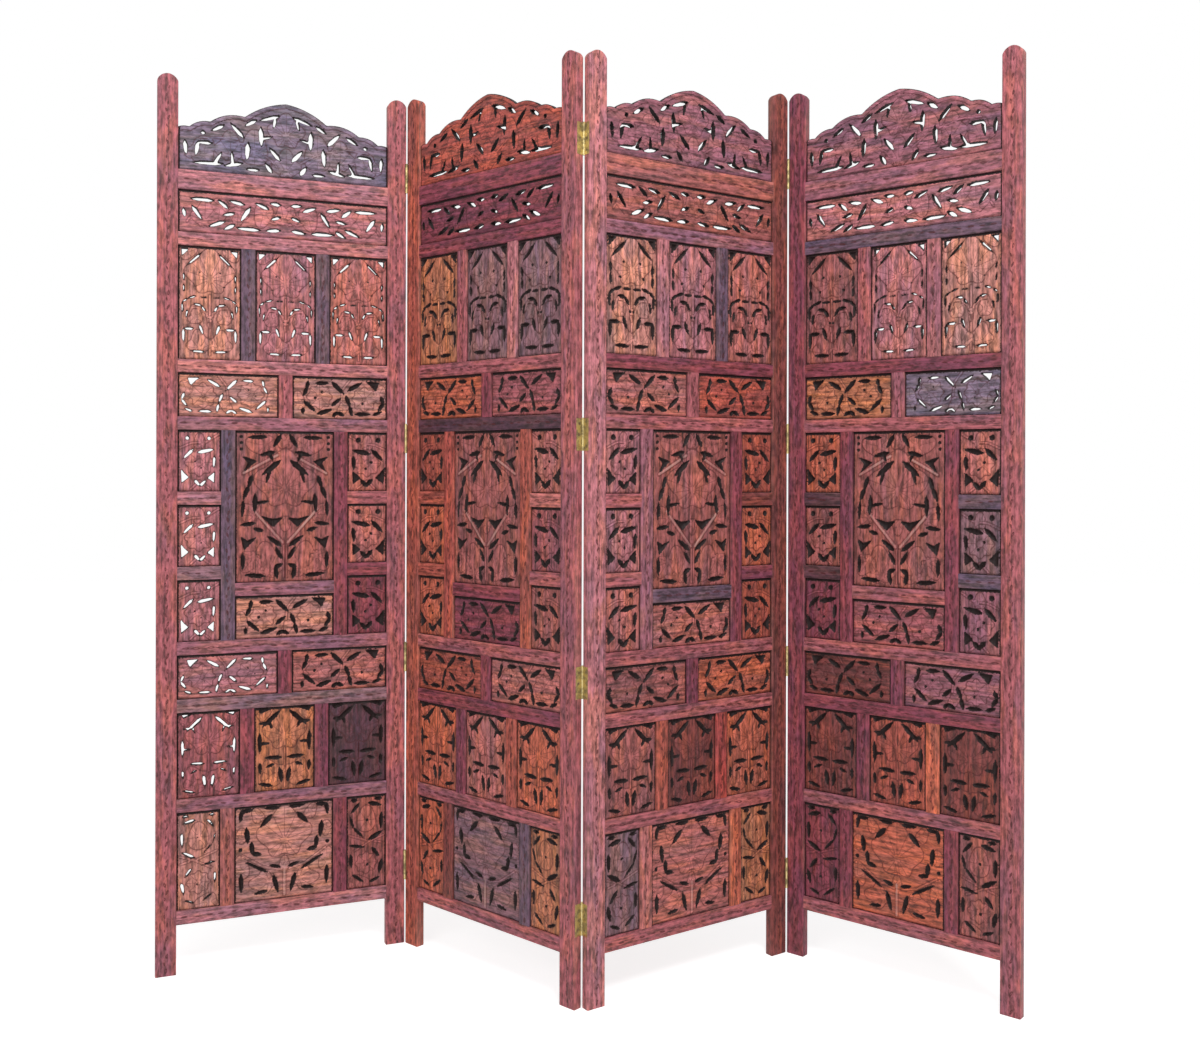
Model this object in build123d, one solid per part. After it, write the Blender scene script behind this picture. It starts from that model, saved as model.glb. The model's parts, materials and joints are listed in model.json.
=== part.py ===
"""Folding jali screen: four framed leaves of pierced boards, hinged in a zigzag.

Every leaf is the same ladder of rails between two stiles. The boards sit loose in grooves, as
in a panelled door. Millimetres, +Z up, the floor at z = 0, the front of the screen towards -Y.
A leaf is built in its own frame first: x along its width from its left edge, y = 0 in the
middle of its thickness, z from the floor. It is then turned and placed for the zigzag.
"""
from build123d import *
from math import atan2, degrees, hypot
import os

# ---- the leaf frame ----
LEAF_WIDTH = 508.0
FRAME_THICKNESS = 19.0
STILE_WIDTH = 40.0
HORN_HEIGHT = 191.0          # stile above the top rail
DOME_RISE = 14.0             # rounded top of a stile
LEG_HEIGHT = 100.0           # floor to bottom rail
RAIL_SETBACK = 1.0           # rails and muntins lie this far behind the stile faces
BOTTOM_RAIL = 28.0
RAIL = 27.0
TOP_RAIL = 40.0
MUNTIN = 28.0
SIDE_COLUMN = 85.0           # narrow boards beside the middle ones

# ---- clear heights of the rows, floor upwards ----
BOTTOM_ROW = 200.0
SHORT_ROW = 176.0
WIDE_ROW = 90.0
BLOCK_HEIGHT = 433.0         # the middle block with the big leaf board
TALL_ROW = 232.0
FRIEZE_ROW = 87.0

# ---- the crest ----
CREST_PEAK = 156.0           # above the top rail, at the middle
CREST_END = 87.0             # above the top rail, at the stiles
CREST_BULGES = (6.5, 8.0, 5.0, 1.5)   # how far each scallop stands out from a straight line

# ---- joinery ----
BOARD_THICKNESS = 13.0       # the carved field of a board
TONGUE_THICKNESS = 9.0       # the edge of a board, in its groove
FIELD_GAP = 1.0              # between the field of a board and the bars round it
GROOVE_DEPTH = 6.0
GROOVE_FIT = 0.1             # each side of a board, tongue or tenon
BOARD_PLAY = 0.3             # between a board's edge and the floor of its groove
TENON_LENGTH = 20.0

# ---- hinges, plates let into the stile edges ----
EDGE_GAP = 1.0               # between the edges of two stiles when the leaves are in line
HINGE_HEIGHT = 62.0
PLATE_THICKNESS = 1.5
PLATE_GAP = 0.4              # between two plates when the leaves are in line
BED_FIT = 0.15               # round a plate in its bed, and over the pin's head
PLATE_ON_EDGE = 17.0         # how far a plate reaches across the stile edge
KNUCKLE_RADIUS = 3.2
KNUCKLE_COUNT = 5
KNUCKLE_GAP = 0.2            # between neighbouring knuckles
KNUCKLE_CLEARANCE = 0.3      # round a knuckle, to the other plate and the stiles
AXIS_OFFSET = 1.0            # hinge axis outside the stile face
PIN_RADIUS = 1.5
PIN_FIT = 0.05
PIN_HEAD_RADIUS = 2.6
PIN_HEAD_HEIGHT = 1.6
SCREWS_PER_PLATE = 3
SCREW_SPACING = 20.0
SCREW_LENGTH = 15.0
SCREW_RADIUS = 1.75
SCREW_HEAD_RADIUS = 3.1
SCREW_FIT = 0.05
SCREW_POINT = 3.0            # length of the tapered tip
SLOT_WIDTH = 0.8
SLOT_DEPTH = 0.6
# the centre of each hinge, as the row it is beside and the height above that row's lower edge
HINGE_RISES = (("bottom", 41.0), ("low_wide", 63.0), ("block", 420.0), ("crest", 22.0))

# ---- how the leaves stand: direction of each leaf in plan, degrees from +X ----
LEAF_ANGLES = (22.4, -41.8, 34.9, -39.5)
HINGE_SIDES = (-1, 1, -1)    # -1: knuckles at the front face, 1: at the back face

# ---- values that follow ----
RAIL_THICKNESS = FRAME_THICKNESS - 2 * RAIL_SETBACK
GROOVE_WIDTH = TONGUE_THICKNESS + 2 * GROOVE_FIT
TONGUE = GROOVE_DEPTH - BOARD_PLAY
CLEAR_LEFT = STILE_WIDTH
CLEAR_RIGHT = LEAF_WIDTH - STILE_WIDTH
CLEAR_WIDTH = CLEAR_RIGHT - CLEAR_LEFT
CENTRE_COLUMN = CLEAR_WIDTH - 2 * SIDE_COLUMN - 2 * MUNTIN
THIRD_COLUMN = (CLEAR_WIDTH - 2 * MUNTIN) / 3
HALF_COLUMN = (CLEAR_WIDTH - MUNTIN) / 2
SMALL_HEIGHT = (BLOCK_HEIGHT - 2 * RAIL) / 3
CENTRE_HEIGHT = BLOCK_HEIGHT - WIDE_ROW - RAIL
BED_DEPTH = PLATE_THICKNESS + (PLATE_GAP - EDGE_GAP) / 2
KNUCKLE_STEP = HINGE_HEIGHT / KNUCKLE_COUNT
KNUCKLE_LENGTH = KNUCKLE_STEP - KNUCKLE_GAP
KNUCKLE_TOP = (HINGE_HEIGHT - KNUCKLE_GAP) / 2
AXIS_Y = FRAME_THICKNESS / 2 + AXIS_OFFSET

# rails and rows from the floor up: height of a rail, name and clear height of the row above it
LADDER = (
    (BOTTOM_RAIL, "bottom", BOTTOM_ROW),
    (RAIL, "short", SHORT_ROW),
    (RAIL, "low_wide", WIDE_ROW),
    (RAIL, "block", BLOCK_HEIGHT),
    (RAIL, "high_wide", WIDE_ROW),
    (RAIL, "tall", TALL_ROW),
    (RAIL, "frieze", FRIEZE_ROW),
    (TOP_RAIL, "crest", CREST_PEAK),
)


def ladder_levels():
    """Lower edge and height of every full rail, and the lower edge of every row."""
    z = LEG_HEIGHT
    rails = []
    rows = {}
    for rail_height, row_name, row_height in LADDER:
        rails.append((z, rail_height))
        z += rail_height
        rows[row_name] = z
        z += row_height
    return rails, rows


RAILS, ROWS = ladder_levels()
STILE_TOP = ROWS["crest"] + HORN_HEIGHT
HINGE_LEVELS = [ROWS[row_name] + rise for row_name, rise in HINGE_RISES]

# ---- the piercings ----
# A cut is a width and its points. One point is a round hole of that width. Two points are a
# gouged slot between them, and a third point is one more slot that runs on from it. A width of 0
# is an outline from corner to corner. Points are fractions of the board's visible half width and
# half height, from its middle. Most tables hold one half of a board, which is mirrored for the
# other half.
TALL_CUTS = (
    (0, (0.62, 0.95), (0.90, 0.95), (0.88, 0.80)),
    (6, (0.25, 0.89), (0.74, 0.64)),
    (4, (0.32, 0.54)),
    (4, (0.45, 0.29)),
    (5, (0.82, 0.52), (0.80, 0.36)),
    (5, (0.82, 0.32), (0.80, 0.17)),
    (4, (0.07, 0.10), (0.34, 0.10)),
    (5, (0.42, 0.12), (0.70, 0.07)),
    (5, (0.70, 0.07), (0.86, 0.00), (0.85, -0.20)),
    (6, (0.14, -0.15), (0.26, -0.04), (0.50, -0.02)),
    (5, (0.70, -0.12), (0.74, -0.27)),
    (4, (0.06, -0.28)),
    (7, (0.32, -0.38), (0.20, -0.56)),
    (7, (0.50, -0.46), (0.82, -0.46), (0.83, -0.70)),
    (6, (0.14, -0.86), (0.62, -0.85)),
)
SHORT_CUTS = (
    (0, (0.46, 0.95), (0.86, 0.95), (0.80, 0.86)),
    (8, (0.18, 0.88), (0.70, 0.55)),
    (5, (0.54, 0.68), (0.42, 0.50)),
    (5, (0.60, 0.62), (0.82, 0.62)),
    (7, (0.82, 0.36), (0.81, -0.06)),
    (5, (0.84, 0.13), (0.52, 0.14)),
    (7, (0.12, -0.22), (0.62, -0.20)),
    (5, (0.36, -0.36), (0.58, -0.42)),
    (8, (0.16, -0.48), (0.10, -0.78)),
    (6, (0.81, -0.34), (0.80, -0.55)),
    (6, (0.42, -0.88), (0.82, -0.81)),
)
CENTRE_CUTS = (
    (5, (0.88, 0.92)),
    (5, (0.88, 0.84)),
    (5, (0.88, 0.76)),
    (7, (0.38, 0.92), (0.72, 0.91)),
    (8, (0.10, 0.94), (0.23, 0.80)),
    (8, (0.22, 0.72), (0.50, 0.68)),
    (5, (0.33, 0.72), (0.26, 0.61)),
    (0, (0.58, 0.60), (0.86, 0.66), (0.74, 0.58), (0.82, 0.47)),
    (10, (0.12, 0.60), (0.44, 0.43)),
    (6, (0.30, 0.51), (0.38, 0.33)),
    (8, (0.67, 0.40), (0.74, 0.26), (0.83, 0.12)),
    (8, (0.60, 0.16), (0.62, -0.07)),
    (5, (0.62, 0.04), (0.34, 0.07)),
    (6, (0.84, 0.07), (0.86, -0.12)),
    (7, (0.62, -0.22), (0.88, -0.24)),
    (0, (0.06, -0.15), (0.26, -0.17), (0.47, -0.13), (0.25, -0.27)),
    (8, (0.09, -0.52), (0.34, -0.40)),
    (7, (0.46, -0.32), (0.62, -0.29)),
    (7, (0.07, -0.69), (0.19, -0.55)),
    (0, (0.59, -0.41), (0.76, -0.45), (0.88, -0.40), (0.82, -0.56), (0.72, -0.50)),
    (7, (0.85, -0.62), (0.85, -0.82)),
    (8, (0.42, -0.92), (0.78, -0.90)),
    (8, (0.16, -0.94), (0.20, -0.80), (0.08, -0.77)),
)
# the wide board, whole: it is not its own mirror image
WIDE_CUTS = (
    (7, (-0.68, 0.72), (-0.70, 0.42), (-0.77, 0.12)),
    (7, (-0.50, 0.68), (-0.27, 0.70)),
    (8, (-0.17, 0.74), (0.06, 0.22)),
    (8, (0.17, 0.38), (0.43, 0.72)),
    (0, (0.55, 0.80), (0.82, 0.78), (0.75, 0.38), (0.66, 0.60)),
    (7, (-0.76, -0.18), (-0.53, -0.64)),
    (7, (-0.17, -0.34), (-0.01, -0.04)),
    (7, (0.12, 0.08), (0.20, -0.36)),
    (7, (0.20, -0.40), (0.24, -0.80)),
    (7, (0.87, 0.08), (0.92, -0.22), (0.82, -0.52)),
    (8, (-0.47, -0.76), (-0.19, -0.55)),
    (7, (-0.15, -0.82), (-0.05, -0.68), (0.06, -0.82)),
    (7, (0.33, -0.75), (0.61, -0.74)),
    (6, (0.71, -0.76), (0.87, -0.62)),
    (6, (-0.79, -0.52), (-0.78, -0.74)),
    (4, (-0.53, -0.02)),
    (4, (-0.39, 0.28)),
    (4, (0.47, -0.24)),
)
BOTTOM_CUTS = (
    (7, (0.12, 0.91), (0.38, 0.92)),
    (9, (0.27, 0.76), (0.46, 0.56)),
    (7, (0.66, 0.91), (0.86, 0.90), (0.88, 0.70)),
    (9, (0.76, 0.52), (0.73, 0.24)),
    (8, (0.66, 0.22), (0.64, 0.00), (0.48, -0.03)),
    (6, (0.88, 0.10)),
    (5, (0.34, -0.42), (0.78, -0.16)),
    (6, (0.10, -0.33), (0.28, -0.28)),
    (8, (0.22, -0.50), (0.13, -0.84)),
    (8, (0.87, -0.42), (0.86, -0.76)),
    (6, (0.36, -0.80), (0.58, -0.84)),
)
FRIEZE_CUTS = (
    (6, (0.95, 0.08), (0.94, -0.24)),
    (7, (0.87, 0.24), (0.79, -0.32)),
    (7, (0.68, 0.58), (0.88, 0.60)),
    (7, (0.55, 0.28), (0.63, 0.60)),
    (7, (0.40, 0.50), (0.52, 0.62)),
    (6, (0.49, 0.04), (0.58, -0.06)),
    (7, (0.34, 0.36), (0.42, -0.26)),
    (7, (0.58, -0.38), (0.71, -0.64)),
    (7, (0.49, -0.50), (0.57, -0.72)),
    (7, (0.25, -0.66), (0.46, -0.64)),
    (7, (0.06, -0.60), (0.18, -0.67)),
    (7, (0.17, 0.38), (0.28, 0.60)),
    (7, (0.06, 0.62), (0.14, 0.66)),
    (6, (0.06, 0.02), (0.13, -0.10)),
)
# the small and the side boards, also whole
SMALL_CUTS = (
    (9, (-0.55, 0.73)),
    (9, (0.45, 0.73)),
    (8, (-0.26, 0.38), (-0.74, 0.06)),
    (9, (-0.10, 0.26), (0.70, 0.38)),
    (7, (0.70, 0.16), (0.66, -0.24)),
    (0, (-0.86, -0.22), (-0.66, -0.40), (-0.44, -0.54), (-0.82, -0.74)),
    (8, (-0.22, -0.62), (0.04, -0.82), (0.30, -0.64)),
    (0, (0.34, -0.56), (0.72, -0.34), (0.70, -0.74), (0.52, -0.64)),
    (4, (-0.20, -0.02)),
    (4, (0.08, -0.24)),
)
SIDE_CUTS = (
    (6, (-0.74, 0.90), (-0.46, 0.90)),
    (6, (0.44, 0.90), (0.76, 0.90)),
    (8, (0.14, 0.82), (0.70, 0.76)),
    (6, (-0.38, 0.82), (-0.74, 0.64)),
    (4, (-0.80, 0.54), (-0.66, 0.32), (-0.18, 0.10)),
    (7, (0.76, 0.58), (0.74, 0.28)),
    (8, (0.16, 0.04), (0.76, 0.18)),
    (5, (-0.82, -0.06), (-0.12, -0.12)),
    (7, (0.30, -0.16), (0.62, -0.34)),
    (6, (-0.77, -0.26), (-0.76, -0.52)),
    (8, (0.78, -0.44), (0.66, -0.68)),
    (5, (-0.66, -0.70), (-0.16, -0.86)),
    (5, (0.18, -0.88), (0.64, -0.80)),
    (4, (0.04, 0.46)),
    (4, (0.06, -0.50)),
)
# the crest's fractions are of half the clear width, and of the peak height above the rail
CREST_CUTS = (
    (7, (0.07, 0.83), (0.24, 0.75)),
    (5, (0.10, 0.80), (0.12, 0.67)),
    (7, (0.29, 0.74), (0.38, 0.66)),
    (9, (0.24, 0.64), (0.235, 0.42)),
    (5, (0.25, 0.50), (0.14, 0.54)),
    (8, (0.06, 0.24), (0.15, 0.38)),
    (8, (0.405, 0.50), (0.515, 0.66)),
    (7, (0.59, 0.63), (0.69, 0.55)),
    (7, (0.775, 0.51)),
    (7, (0.70, 0.38), (0.82, 0.38), (0.84, 0.22)),
    (7, (0.94, 0.38), (0.93, 0.22)),
    (7, (0.60, 0.12), (0.86, 0.11)),
    (5, (0.67, 0.12), (0.61, 0.26)),
    (7, (0.42, 0.15), (0.57, 0.10)),
    (5, (0.50, 0.12), (0.51, 0.28)),
    (9, (0.36, 0.42), (0.37, 0.22)),
    (6, (0.26, 0.08), (0.37, 0.08)),
    (8, (0.14, 0.07), (0.19, 0.17)),
)
# where two scallops meet: fraction of half the clear width, fraction of the peak height
CREST_CUSPS = ((0.0, 1.0), (0.39, 0.77), (0.71, 0.66), (0.90, 0.57))


def block(xs, ys, zs):
    """A box between two x, two y and two z values, in any order."""
    low = [min(pair) for pair in (xs, ys, zs)]
    size = [abs(pair[1] - pair[0]) for pair in (xs, ys, zs)]
    return Pos(*low) * Box(*size, align=(Align.MIN, Align.MIN, Align.MIN))


def across(thickness):
    """The y values of a slab of this thickness in the middle of the leaf."""
    return (-thickness / 2, thickness / 2)


def mirror_cuts(cuts):
    """The same cuts on the other half of the board."""
    return tuple((cut[0],) + tuple((-u, v) for u, v in cut[1:]) for cut in cuts)


def gouged_slot(start, end, width):
    """A slot drawn to a point beyond both ends, widest a quarter of the way along it."""
    length = hypot(end[0] - start[0], end[1] - start[1])
    turn = degrees(atan2(end[1] - start[1], end[0] - start[0]))
    wide = width / 2
    narrow = 0.8 * wide
    tip = width / 3
    corners = ((-tip, 0), (length / 4, wide), (3 * length / 4, narrow), (length + tip, 0),
               (3 * length / 4, -narrow), (length / 4, -wide))
    return Pos(*start) * Rot(0, 0, turn) * make_face(Polyline(*corners, close=True))


def cut_shapes(cuts, half_width, half_height):
    """Flat shapes of the cuts on a board, about its middle."""
    shapes = []
    for width, *fractions in cuts:
        points = [(u * half_width, v * half_height) for u, v in fractions]
        if width == 0:
            shapes.append(make_face(Polyline(*points, close=True)))
        elif len(points) == 1:
            shapes.append(Pos(*points[0]) * Circle(width / 2))
        else:
            for start, end in zip(points, points[1:]):
                shapes.append(gouged_slot(start, end, width))
    return shapes


def upright_slab(face, thickness):
    """A flat shape stood up in the leaf's plane and given its thickness."""
    return extrude(Plane.XZ.offset(-thickness / 2) * face, thickness)


def tongued_board(blank, field, shapes):
    """A pierced board: its blank as thin as its tongues, its field at full thickness."""
    return upright_slab(blank - shapes, TONGUE_THICKNESS) + upright_slab(field - shapes, BOARD_THICKNESS)


def pierced_board(width, height, cuts):
    """A board for a clear opening of this size, about the opening's middle."""
    blank = Rectangle(width + 2 * TONGUE, height + 2 * TONGUE)
    field = Rectangle(width - 2 * FIELD_GAP, height - 2 * FIELD_GAP)
    return tongued_board(blank, field, cut_shapes(cuts, width / 2, height / 2))


def crest_outline():
    """The arched, scalloped outline, its lower edge at v = 0 on top of the top rail."""
    half = CLEAR_WIDTH / 2
    cusps = [(u * half, v * CREST_PEAK) for u, v in CREST_CUSPS] + [(half, CREST_END)]
    edges = []
    for (x0, z0), (x1, z1), bulge in zip(cusps, cusps[1:], CREST_BULGES):
        length = hypot(x1 - x0, z1 - z0)
        top = ((x0 + x1) / 2 + bulge * (z0 - z1) / length, (z0 + z1) / 2 + bulge * (x1 - x0) / length)
        edges.append(ThreePointArc((x0, z0), top, (x1, z1)))
        edges.append(ThreePointArc((-x0, z0), (-top[0], top[1]), (-x1, z1)))
    edge = half + TONGUE
    skirt = ((half, CREST_END), (edge, CREST_END), (edge, -TONGUE), (-edge, -TONGUE),
             (-edge, CREST_END), (-half, CREST_END))
    return make_face(edges + [Polyline(*skirt)])


def crest_board():
    """The pierced crest, about the middle of its lower edge."""
    cuts = CREST_CUTS + mirror_cuts(CREST_CUTS)
    shapes = cut_shapes(cuts, CLEAR_WIDTH / 2, CREST_PEAK)
    room = Rectangle(CLEAR_WIDTH - 2 * FIELD_GAP, CREST_PEAK, align=(Align.CENTER, Align.MIN))
    field = crest_outline() & Pos(0, FIELD_GAP) * room
    return tongued_board(crest_outline(), field, shapes)


def tenon_span(z0, height):
    """Lower and upper z of a tenon: what is left between a rail's two grooves."""
    return (z0 + GROOVE_DEPTH, z0 + height - GROOVE_DEPTH)


def rail(x0, x1, z0, height, tenon, groove_below=True):
    """A horizontal bar between x0 and x1 with a tenon at each end, grooved for the boards."""
    z1 = z0 + height
    bar = block((x0, x1), across(RAIL_THICKNESS), (z0, z1))
    bar += block((x0 - tenon, x1 + tenon), across(TONGUE_THICKNESS), tenon_span(z0, height))
    bar -= block((x0, x1), across(GROOVE_WIDTH), (z1 - GROOVE_DEPTH, z1))
    if groove_below:
        bar -= block((x0, x1), across(GROOVE_WIDTH), (z0, z0 + GROOVE_DEPTH))
    return bar


def muntin(x0, z0, z1):
    """A short upright, grooved on both sides, with a stub tenon at each end."""
    x1 = x0 + MUNTIN
    bar = block((x0, x1), across(RAIL_THICKNESS), (z0, z1))
    core = (x0 + GROOVE_DEPTH, x1 - GROOVE_DEPTH)
    bar -= block((x0, core[0]), across(GROOVE_WIDTH), (z0, z1))
    bar -= block((core[1], x1), across(GROOVE_WIDTH), (z0, z1))
    return bar + block(core, across(TONGUE_THICKNESS), (z0 - TONGUE, z1 + TONGUE))


def screw_levels():
    """Heights of the screws of one hinge, from the hinge's middle."""
    return [SCREW_SPACING * (index - (SCREWS_PER_PLATE - 1) / 2) for index in range(SCREWS_PER_PLATE)]


def stile_blank(x0):
    """A stile with its rounded top, its left edge at x0."""
    shoulder = STILE_TOP - DOME_RISE
    sides = Polyline((0, shoulder), (0, 0), (STILE_WIDTH, 0), (STILE_WIDTH, shoulder))
    dome = ThreePointArc((STILE_WIDTH, shoulder), (STILE_WIDTH / 2, STILE_TOP), (0, shoulder))
    return Pos(x0, 0, 0) * upright_slab(make_face([sides, dome]), FRAME_THICKNESS)


def hinge_seat(outer, side, facing):
    """What one hinge takes out of a stile edge at x = outer: the plate's bed and the knuckles' hollow.

    The side tells the left (-1) or right (1) stile, and the knuckles sit at the face towards
    facing * y.
    """
    face = facing * FRAME_THICKNESS / 2
    bed_end = face - facing * (PLATE_ON_EDGE + BED_FIT)
    foot = KNUCKLE_TOP + BED_FIT
    bed = block((outer - side * BED_DEPTH, outer), (face, bed_end), (-foot, foot))
    hollow_height = foot + KNUCKLE_TOP + PIN_HEAD_HEIGHT + BED_FIT
    hollow = Cylinder(KNUCKLE_RADIUS + KNUCKLE_CLEARANCE, hollow_height,
                      align=(Align.CENTER, Align.CENTER, Align.MIN))
    return bed + Pos(outer + side * EDGE_GAP / 2, facing * AXIS_Y, -foot) * hollow


def stile(side, facing):
    """The left (-1) or right (1) stile, with its groove, mortises, hinge seats and screw holes.

    Its knuckles sit at the front (-1) or back (1) face, and 0 is a stile with no hinges.
    """
    inner = CLEAR_LEFT if side < 0 else CLEAR_RIGHT
    outer = 0 if side < 0 else LEAF_WIDTH
    post = stile_blank(min(inner, outer))
    groove_floor = inner + side * GROOVE_DEPTH
    groove_top = ROWS["crest"] + CREST_END + BOARD_PLAY
    post -= block((inner, groove_floor), across(GROOVE_WIDTH), (ROWS["bottom"] - GROOVE_DEPTH, groove_top))
    mortise_end = inner + side * (TENON_LENGTH + BOARD_PLAY)
    for z0, height in RAILS:
        low, high = tenon_span(z0, height)
        span = (low - GROOVE_FIT, high + GROOVE_FIT)
        post -= block((inner, mortise_end), across(GROOVE_WIDTH), span)
    if facing:
        hole = Cylinder(SCREW_RADIUS + SCREW_FIT, 2 * (SCREW_LENGTH + BOARD_PLAY), rotation=(0, 90, 0))
        for level in HINGE_LEVELS:
            post -= Pos(0, 0, level) * hinge_seat(outer, side, facing)
            for rise in screw_levels():
                post -= Pos(outer, 0, level + rise) * hole
    return post


def full_rails():
    """The eight rails that run from stile to stile."""
    bars = []
    for index, (z0, height) in enumerate(RAILS):
        bars.append(rail(CLEAR_LEFT, CLEAR_RIGHT, z0, height, TENON_LENGTH, groove_below=index > 0))
    return bars


def side_columns():
    """Left x of the two outer columns beside the muntins of the block and the bottom row."""
    return (CLEAR_LEFT, CLEAR_RIGHT - SIDE_COLUMN)


def centre_left():
    """Left x of the middle column of the block and the bottom row."""
    return CLEAR_LEFT + SIDE_COLUMN + MUNTIN


def thirds():
    """Left x of the three columns of the tall and the short row."""
    return [CLEAR_LEFT + index * (THIRD_COLUMN + MUNTIN) for index in range(3)]


def halves():
    """Left x of the two columns of a wide row."""
    return (CLEAR_LEFT, CLEAR_LEFT + HALF_COLUMN + MUNTIN)


def muntins_and_short_rails():
    """The uprights of every row, and the short rails of the middle block."""
    bars = []
    for row, height in (("tall", TALL_ROW), ("short", SHORT_ROW)):
        for x0 in thirds()[1:]:
            bars.append(muntin(x0 - MUNTIN, ROWS[row], ROWS[row] + height))
    for row in ("high_wide", "low_wide"):
        bars.append(muntin(halves()[1] - MUNTIN, ROWS[row], ROWS[row] + WIDE_ROW))
    for row, height in (("block", BLOCK_HEIGHT), ("bottom", BOTTOM_ROW)):
        for x0 in (centre_left() - MUNTIN, centre_left() + CENTRE_COLUMN):
            bars.append(muntin(x0, ROWS[row], ROWS[row] + height))
    for x0 in side_columns():
        for index in (1, 2):
            z0 = ROWS["block"] + index * SMALL_HEIGHT + (index - 1) * RAIL
            bars.append(rail(x0, x0 + SIDE_COLUMN, z0, RAIL, TONGUE))
    z0 = ROWS["block"] + WIDE_ROW
    bars.append(rail(centre_left(), centre_left() + CENTRE_COLUMN, z0, RAIL, TONGUE))
    return bars


def fill_openings(board, width, height, corners):
    """Copies of a board in openings of one size, given the openings' lower left corners."""
    return [Pos(x0 + width / 2, 0, z0 + height / 2) * board for x0, z0 in corners]


def upright_boards():
    """Three tall boards in the upper row and three short ones in the lower."""
    tall = pierced_board(THIRD_COLUMN, TALL_ROW, TALL_CUTS + mirror_cuts(TALL_CUTS))
    short = pierced_board(THIRD_COLUMN, SHORT_ROW, SHORT_CUTS + mirror_cuts(SHORT_CUTS))
    boards = fill_openings(tall, THIRD_COLUMN, TALL_ROW, [(x0, ROWS["tall"]) for x0 in thirds()])
    boards += fill_openings(short, THIRD_COLUMN, SHORT_ROW, [(x0, ROWS["short"]) for x0 in thirds()])
    return boards


def wide_boards():
    """Two boards in each wide row, mirrored left to right, and one under the big leaf board."""
    boards = []
    for x0, cuts in zip(halves(), (mirror_cuts(WIDE_CUTS), WIDE_CUTS)):
        corners = [(x0, ROWS["high_wide"]), (x0, ROWS["low_wide"])]
        boards += fill_openings(pierced_board(HALF_COLUMN, WIDE_ROW, cuts), HALF_COLUMN, WIDE_ROW, corners)
    under = pierced_board(CENTRE_COLUMN, WIDE_ROW, WIDE_CUTS)
    return boards + fill_openings(under, CENTRE_COLUMN, WIDE_ROW, [(centre_left(), ROWS["block"])])


def small_boards():
    """Three small boards each side of the block, mirrored left to right."""
    boards = []
    for x0, cuts in zip(side_columns(), (SMALL_CUTS, mirror_cuts(SMALL_CUTS))):
        corners = [(x0, ROWS["block"] + index * (SMALL_HEIGHT + RAIL)) for index in range(3)]
        board = pierced_board(SIDE_COLUMN, SMALL_HEIGHT, cuts)
        boards += fill_openings(board, SIDE_COLUMN, SMALL_HEIGHT, corners)
    return boards


def centre_board():
    """The big leaf board of the block."""
    board = pierced_board(CENTRE_COLUMN, CENTRE_HEIGHT, CENTRE_CUTS + mirror_cuts(CENTRE_CUTS))
    corner = (centre_left(), ROWS["block"] + WIDE_ROW + RAIL)
    return fill_openings(board, CENTRE_COLUMN, CENTRE_HEIGHT, [corner])


def bottom_boards():
    """A wide board in the middle of the bottom row and a narrow one each side."""
    middle = pierced_board(CENTRE_COLUMN, BOTTOM_ROW, BOTTOM_CUTS + mirror_cuts(BOTTOM_CUTS))
    boards = fill_openings(middle, CENTRE_COLUMN, BOTTOM_ROW, [(centre_left(), ROWS["bottom"])])
    for x0, cuts in zip(side_columns(), (mirror_cuts(SIDE_CUTS), SIDE_CUTS)):
        board = pierced_board(SIDE_COLUMN, BOTTOM_ROW, cuts)
        boards += fill_openings(board, SIDE_COLUMN, BOTTOM_ROW, [(x0, ROWS["bottom"])])
    return boards


def frieze_board():
    """The vine board that runs under the top rail."""
    board = pierced_board(CLEAR_WIDTH, FRIEZE_ROW, FRIEZE_CUTS + mirror_cuts(FRIEZE_CUTS))
    return fill_openings(board, CLEAR_WIDTH, FRIEZE_ROW, [(CLEAR_LEFT, ROWS["frieze"])])


def screw():
    """A countersunk slotted wood screw along -x, the top of its head at x = 0."""
    head_height = SCREW_HEAD_RADIUS - SCREW_RADIUS
    shank_end = SCREW_LENGTH - SCREW_POINT
    profile = Polyline(
        (0, 0), (SCREW_HEAD_RADIUS, 0), (SCREW_RADIUS, -head_height),
        (SCREW_RADIUS, -shank_end), (0, -SCREW_LENGTH), close=True)
    body = revolve(Plane.XZ * make_face(profile), Axis.Z)
    slot = block(across(2 * SCREW_HEAD_RADIUS), across(SLOT_WIDTH), (-SLOT_DEPTH, 0))
    return Rot(0, 90, 0) * (body - slot)


def hinge_plate(side, inward, own_knuckles):
    """One plate about the hinge axis: side -1 or 1 of the gap, its flap towards inward * y."""
    face = side * PLATE_GAP / 2
    back = face + side * PLATE_THICKNESS
    plate = block((face, back), (0, inward * (AXIS_OFFSET + PLATE_ON_EDGE)), (-KNUCKLE_TOP, KNUCKLE_TOP))
    for index in range(KNUCKLE_COUNT):
        middle = Pos(0, 0, (index + 0.5) * KNUCKLE_STEP - HINGE_HEIGHT / 2)
        if index in own_knuckles:
            plate += middle * Cylinder(KNUCKLE_RADIUS, KNUCKLE_LENGTH)
        else:
            plate -= middle * Cylinder(KNUCKLE_RADIUS + KNUCKLE_CLEARANCE, KNUCKLE_STEP)
    plate -= Cylinder(PIN_RADIUS + PIN_FIT, 2 * HINGE_HEIGHT)
    for rise in screw_levels():
        plate -= Pos(face, inward * AXIS_Y, rise) * screw_clearance(side)
    return plate


def screw_clearance(side):
    """The countersunk hole for a screw driven towards side * x, its mouth at x = 0."""
    mouth = SCREW_HEAD_RADIUS + SCREW_FIT
    throat = SCREW_RADIUS + SCREW_FIT
    sink = Cone(mouth, throat, mouth - throat, align=(Align.CENTER, Align.CENTER, Align.MIN))
    through = Cylinder(throat, 2 * PLATE_THICKNESS, align=(Align.CENTER, Align.CENTER, Align.MIN))
    return Rot(0, side * 90, 0) * (sink + through)


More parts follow.
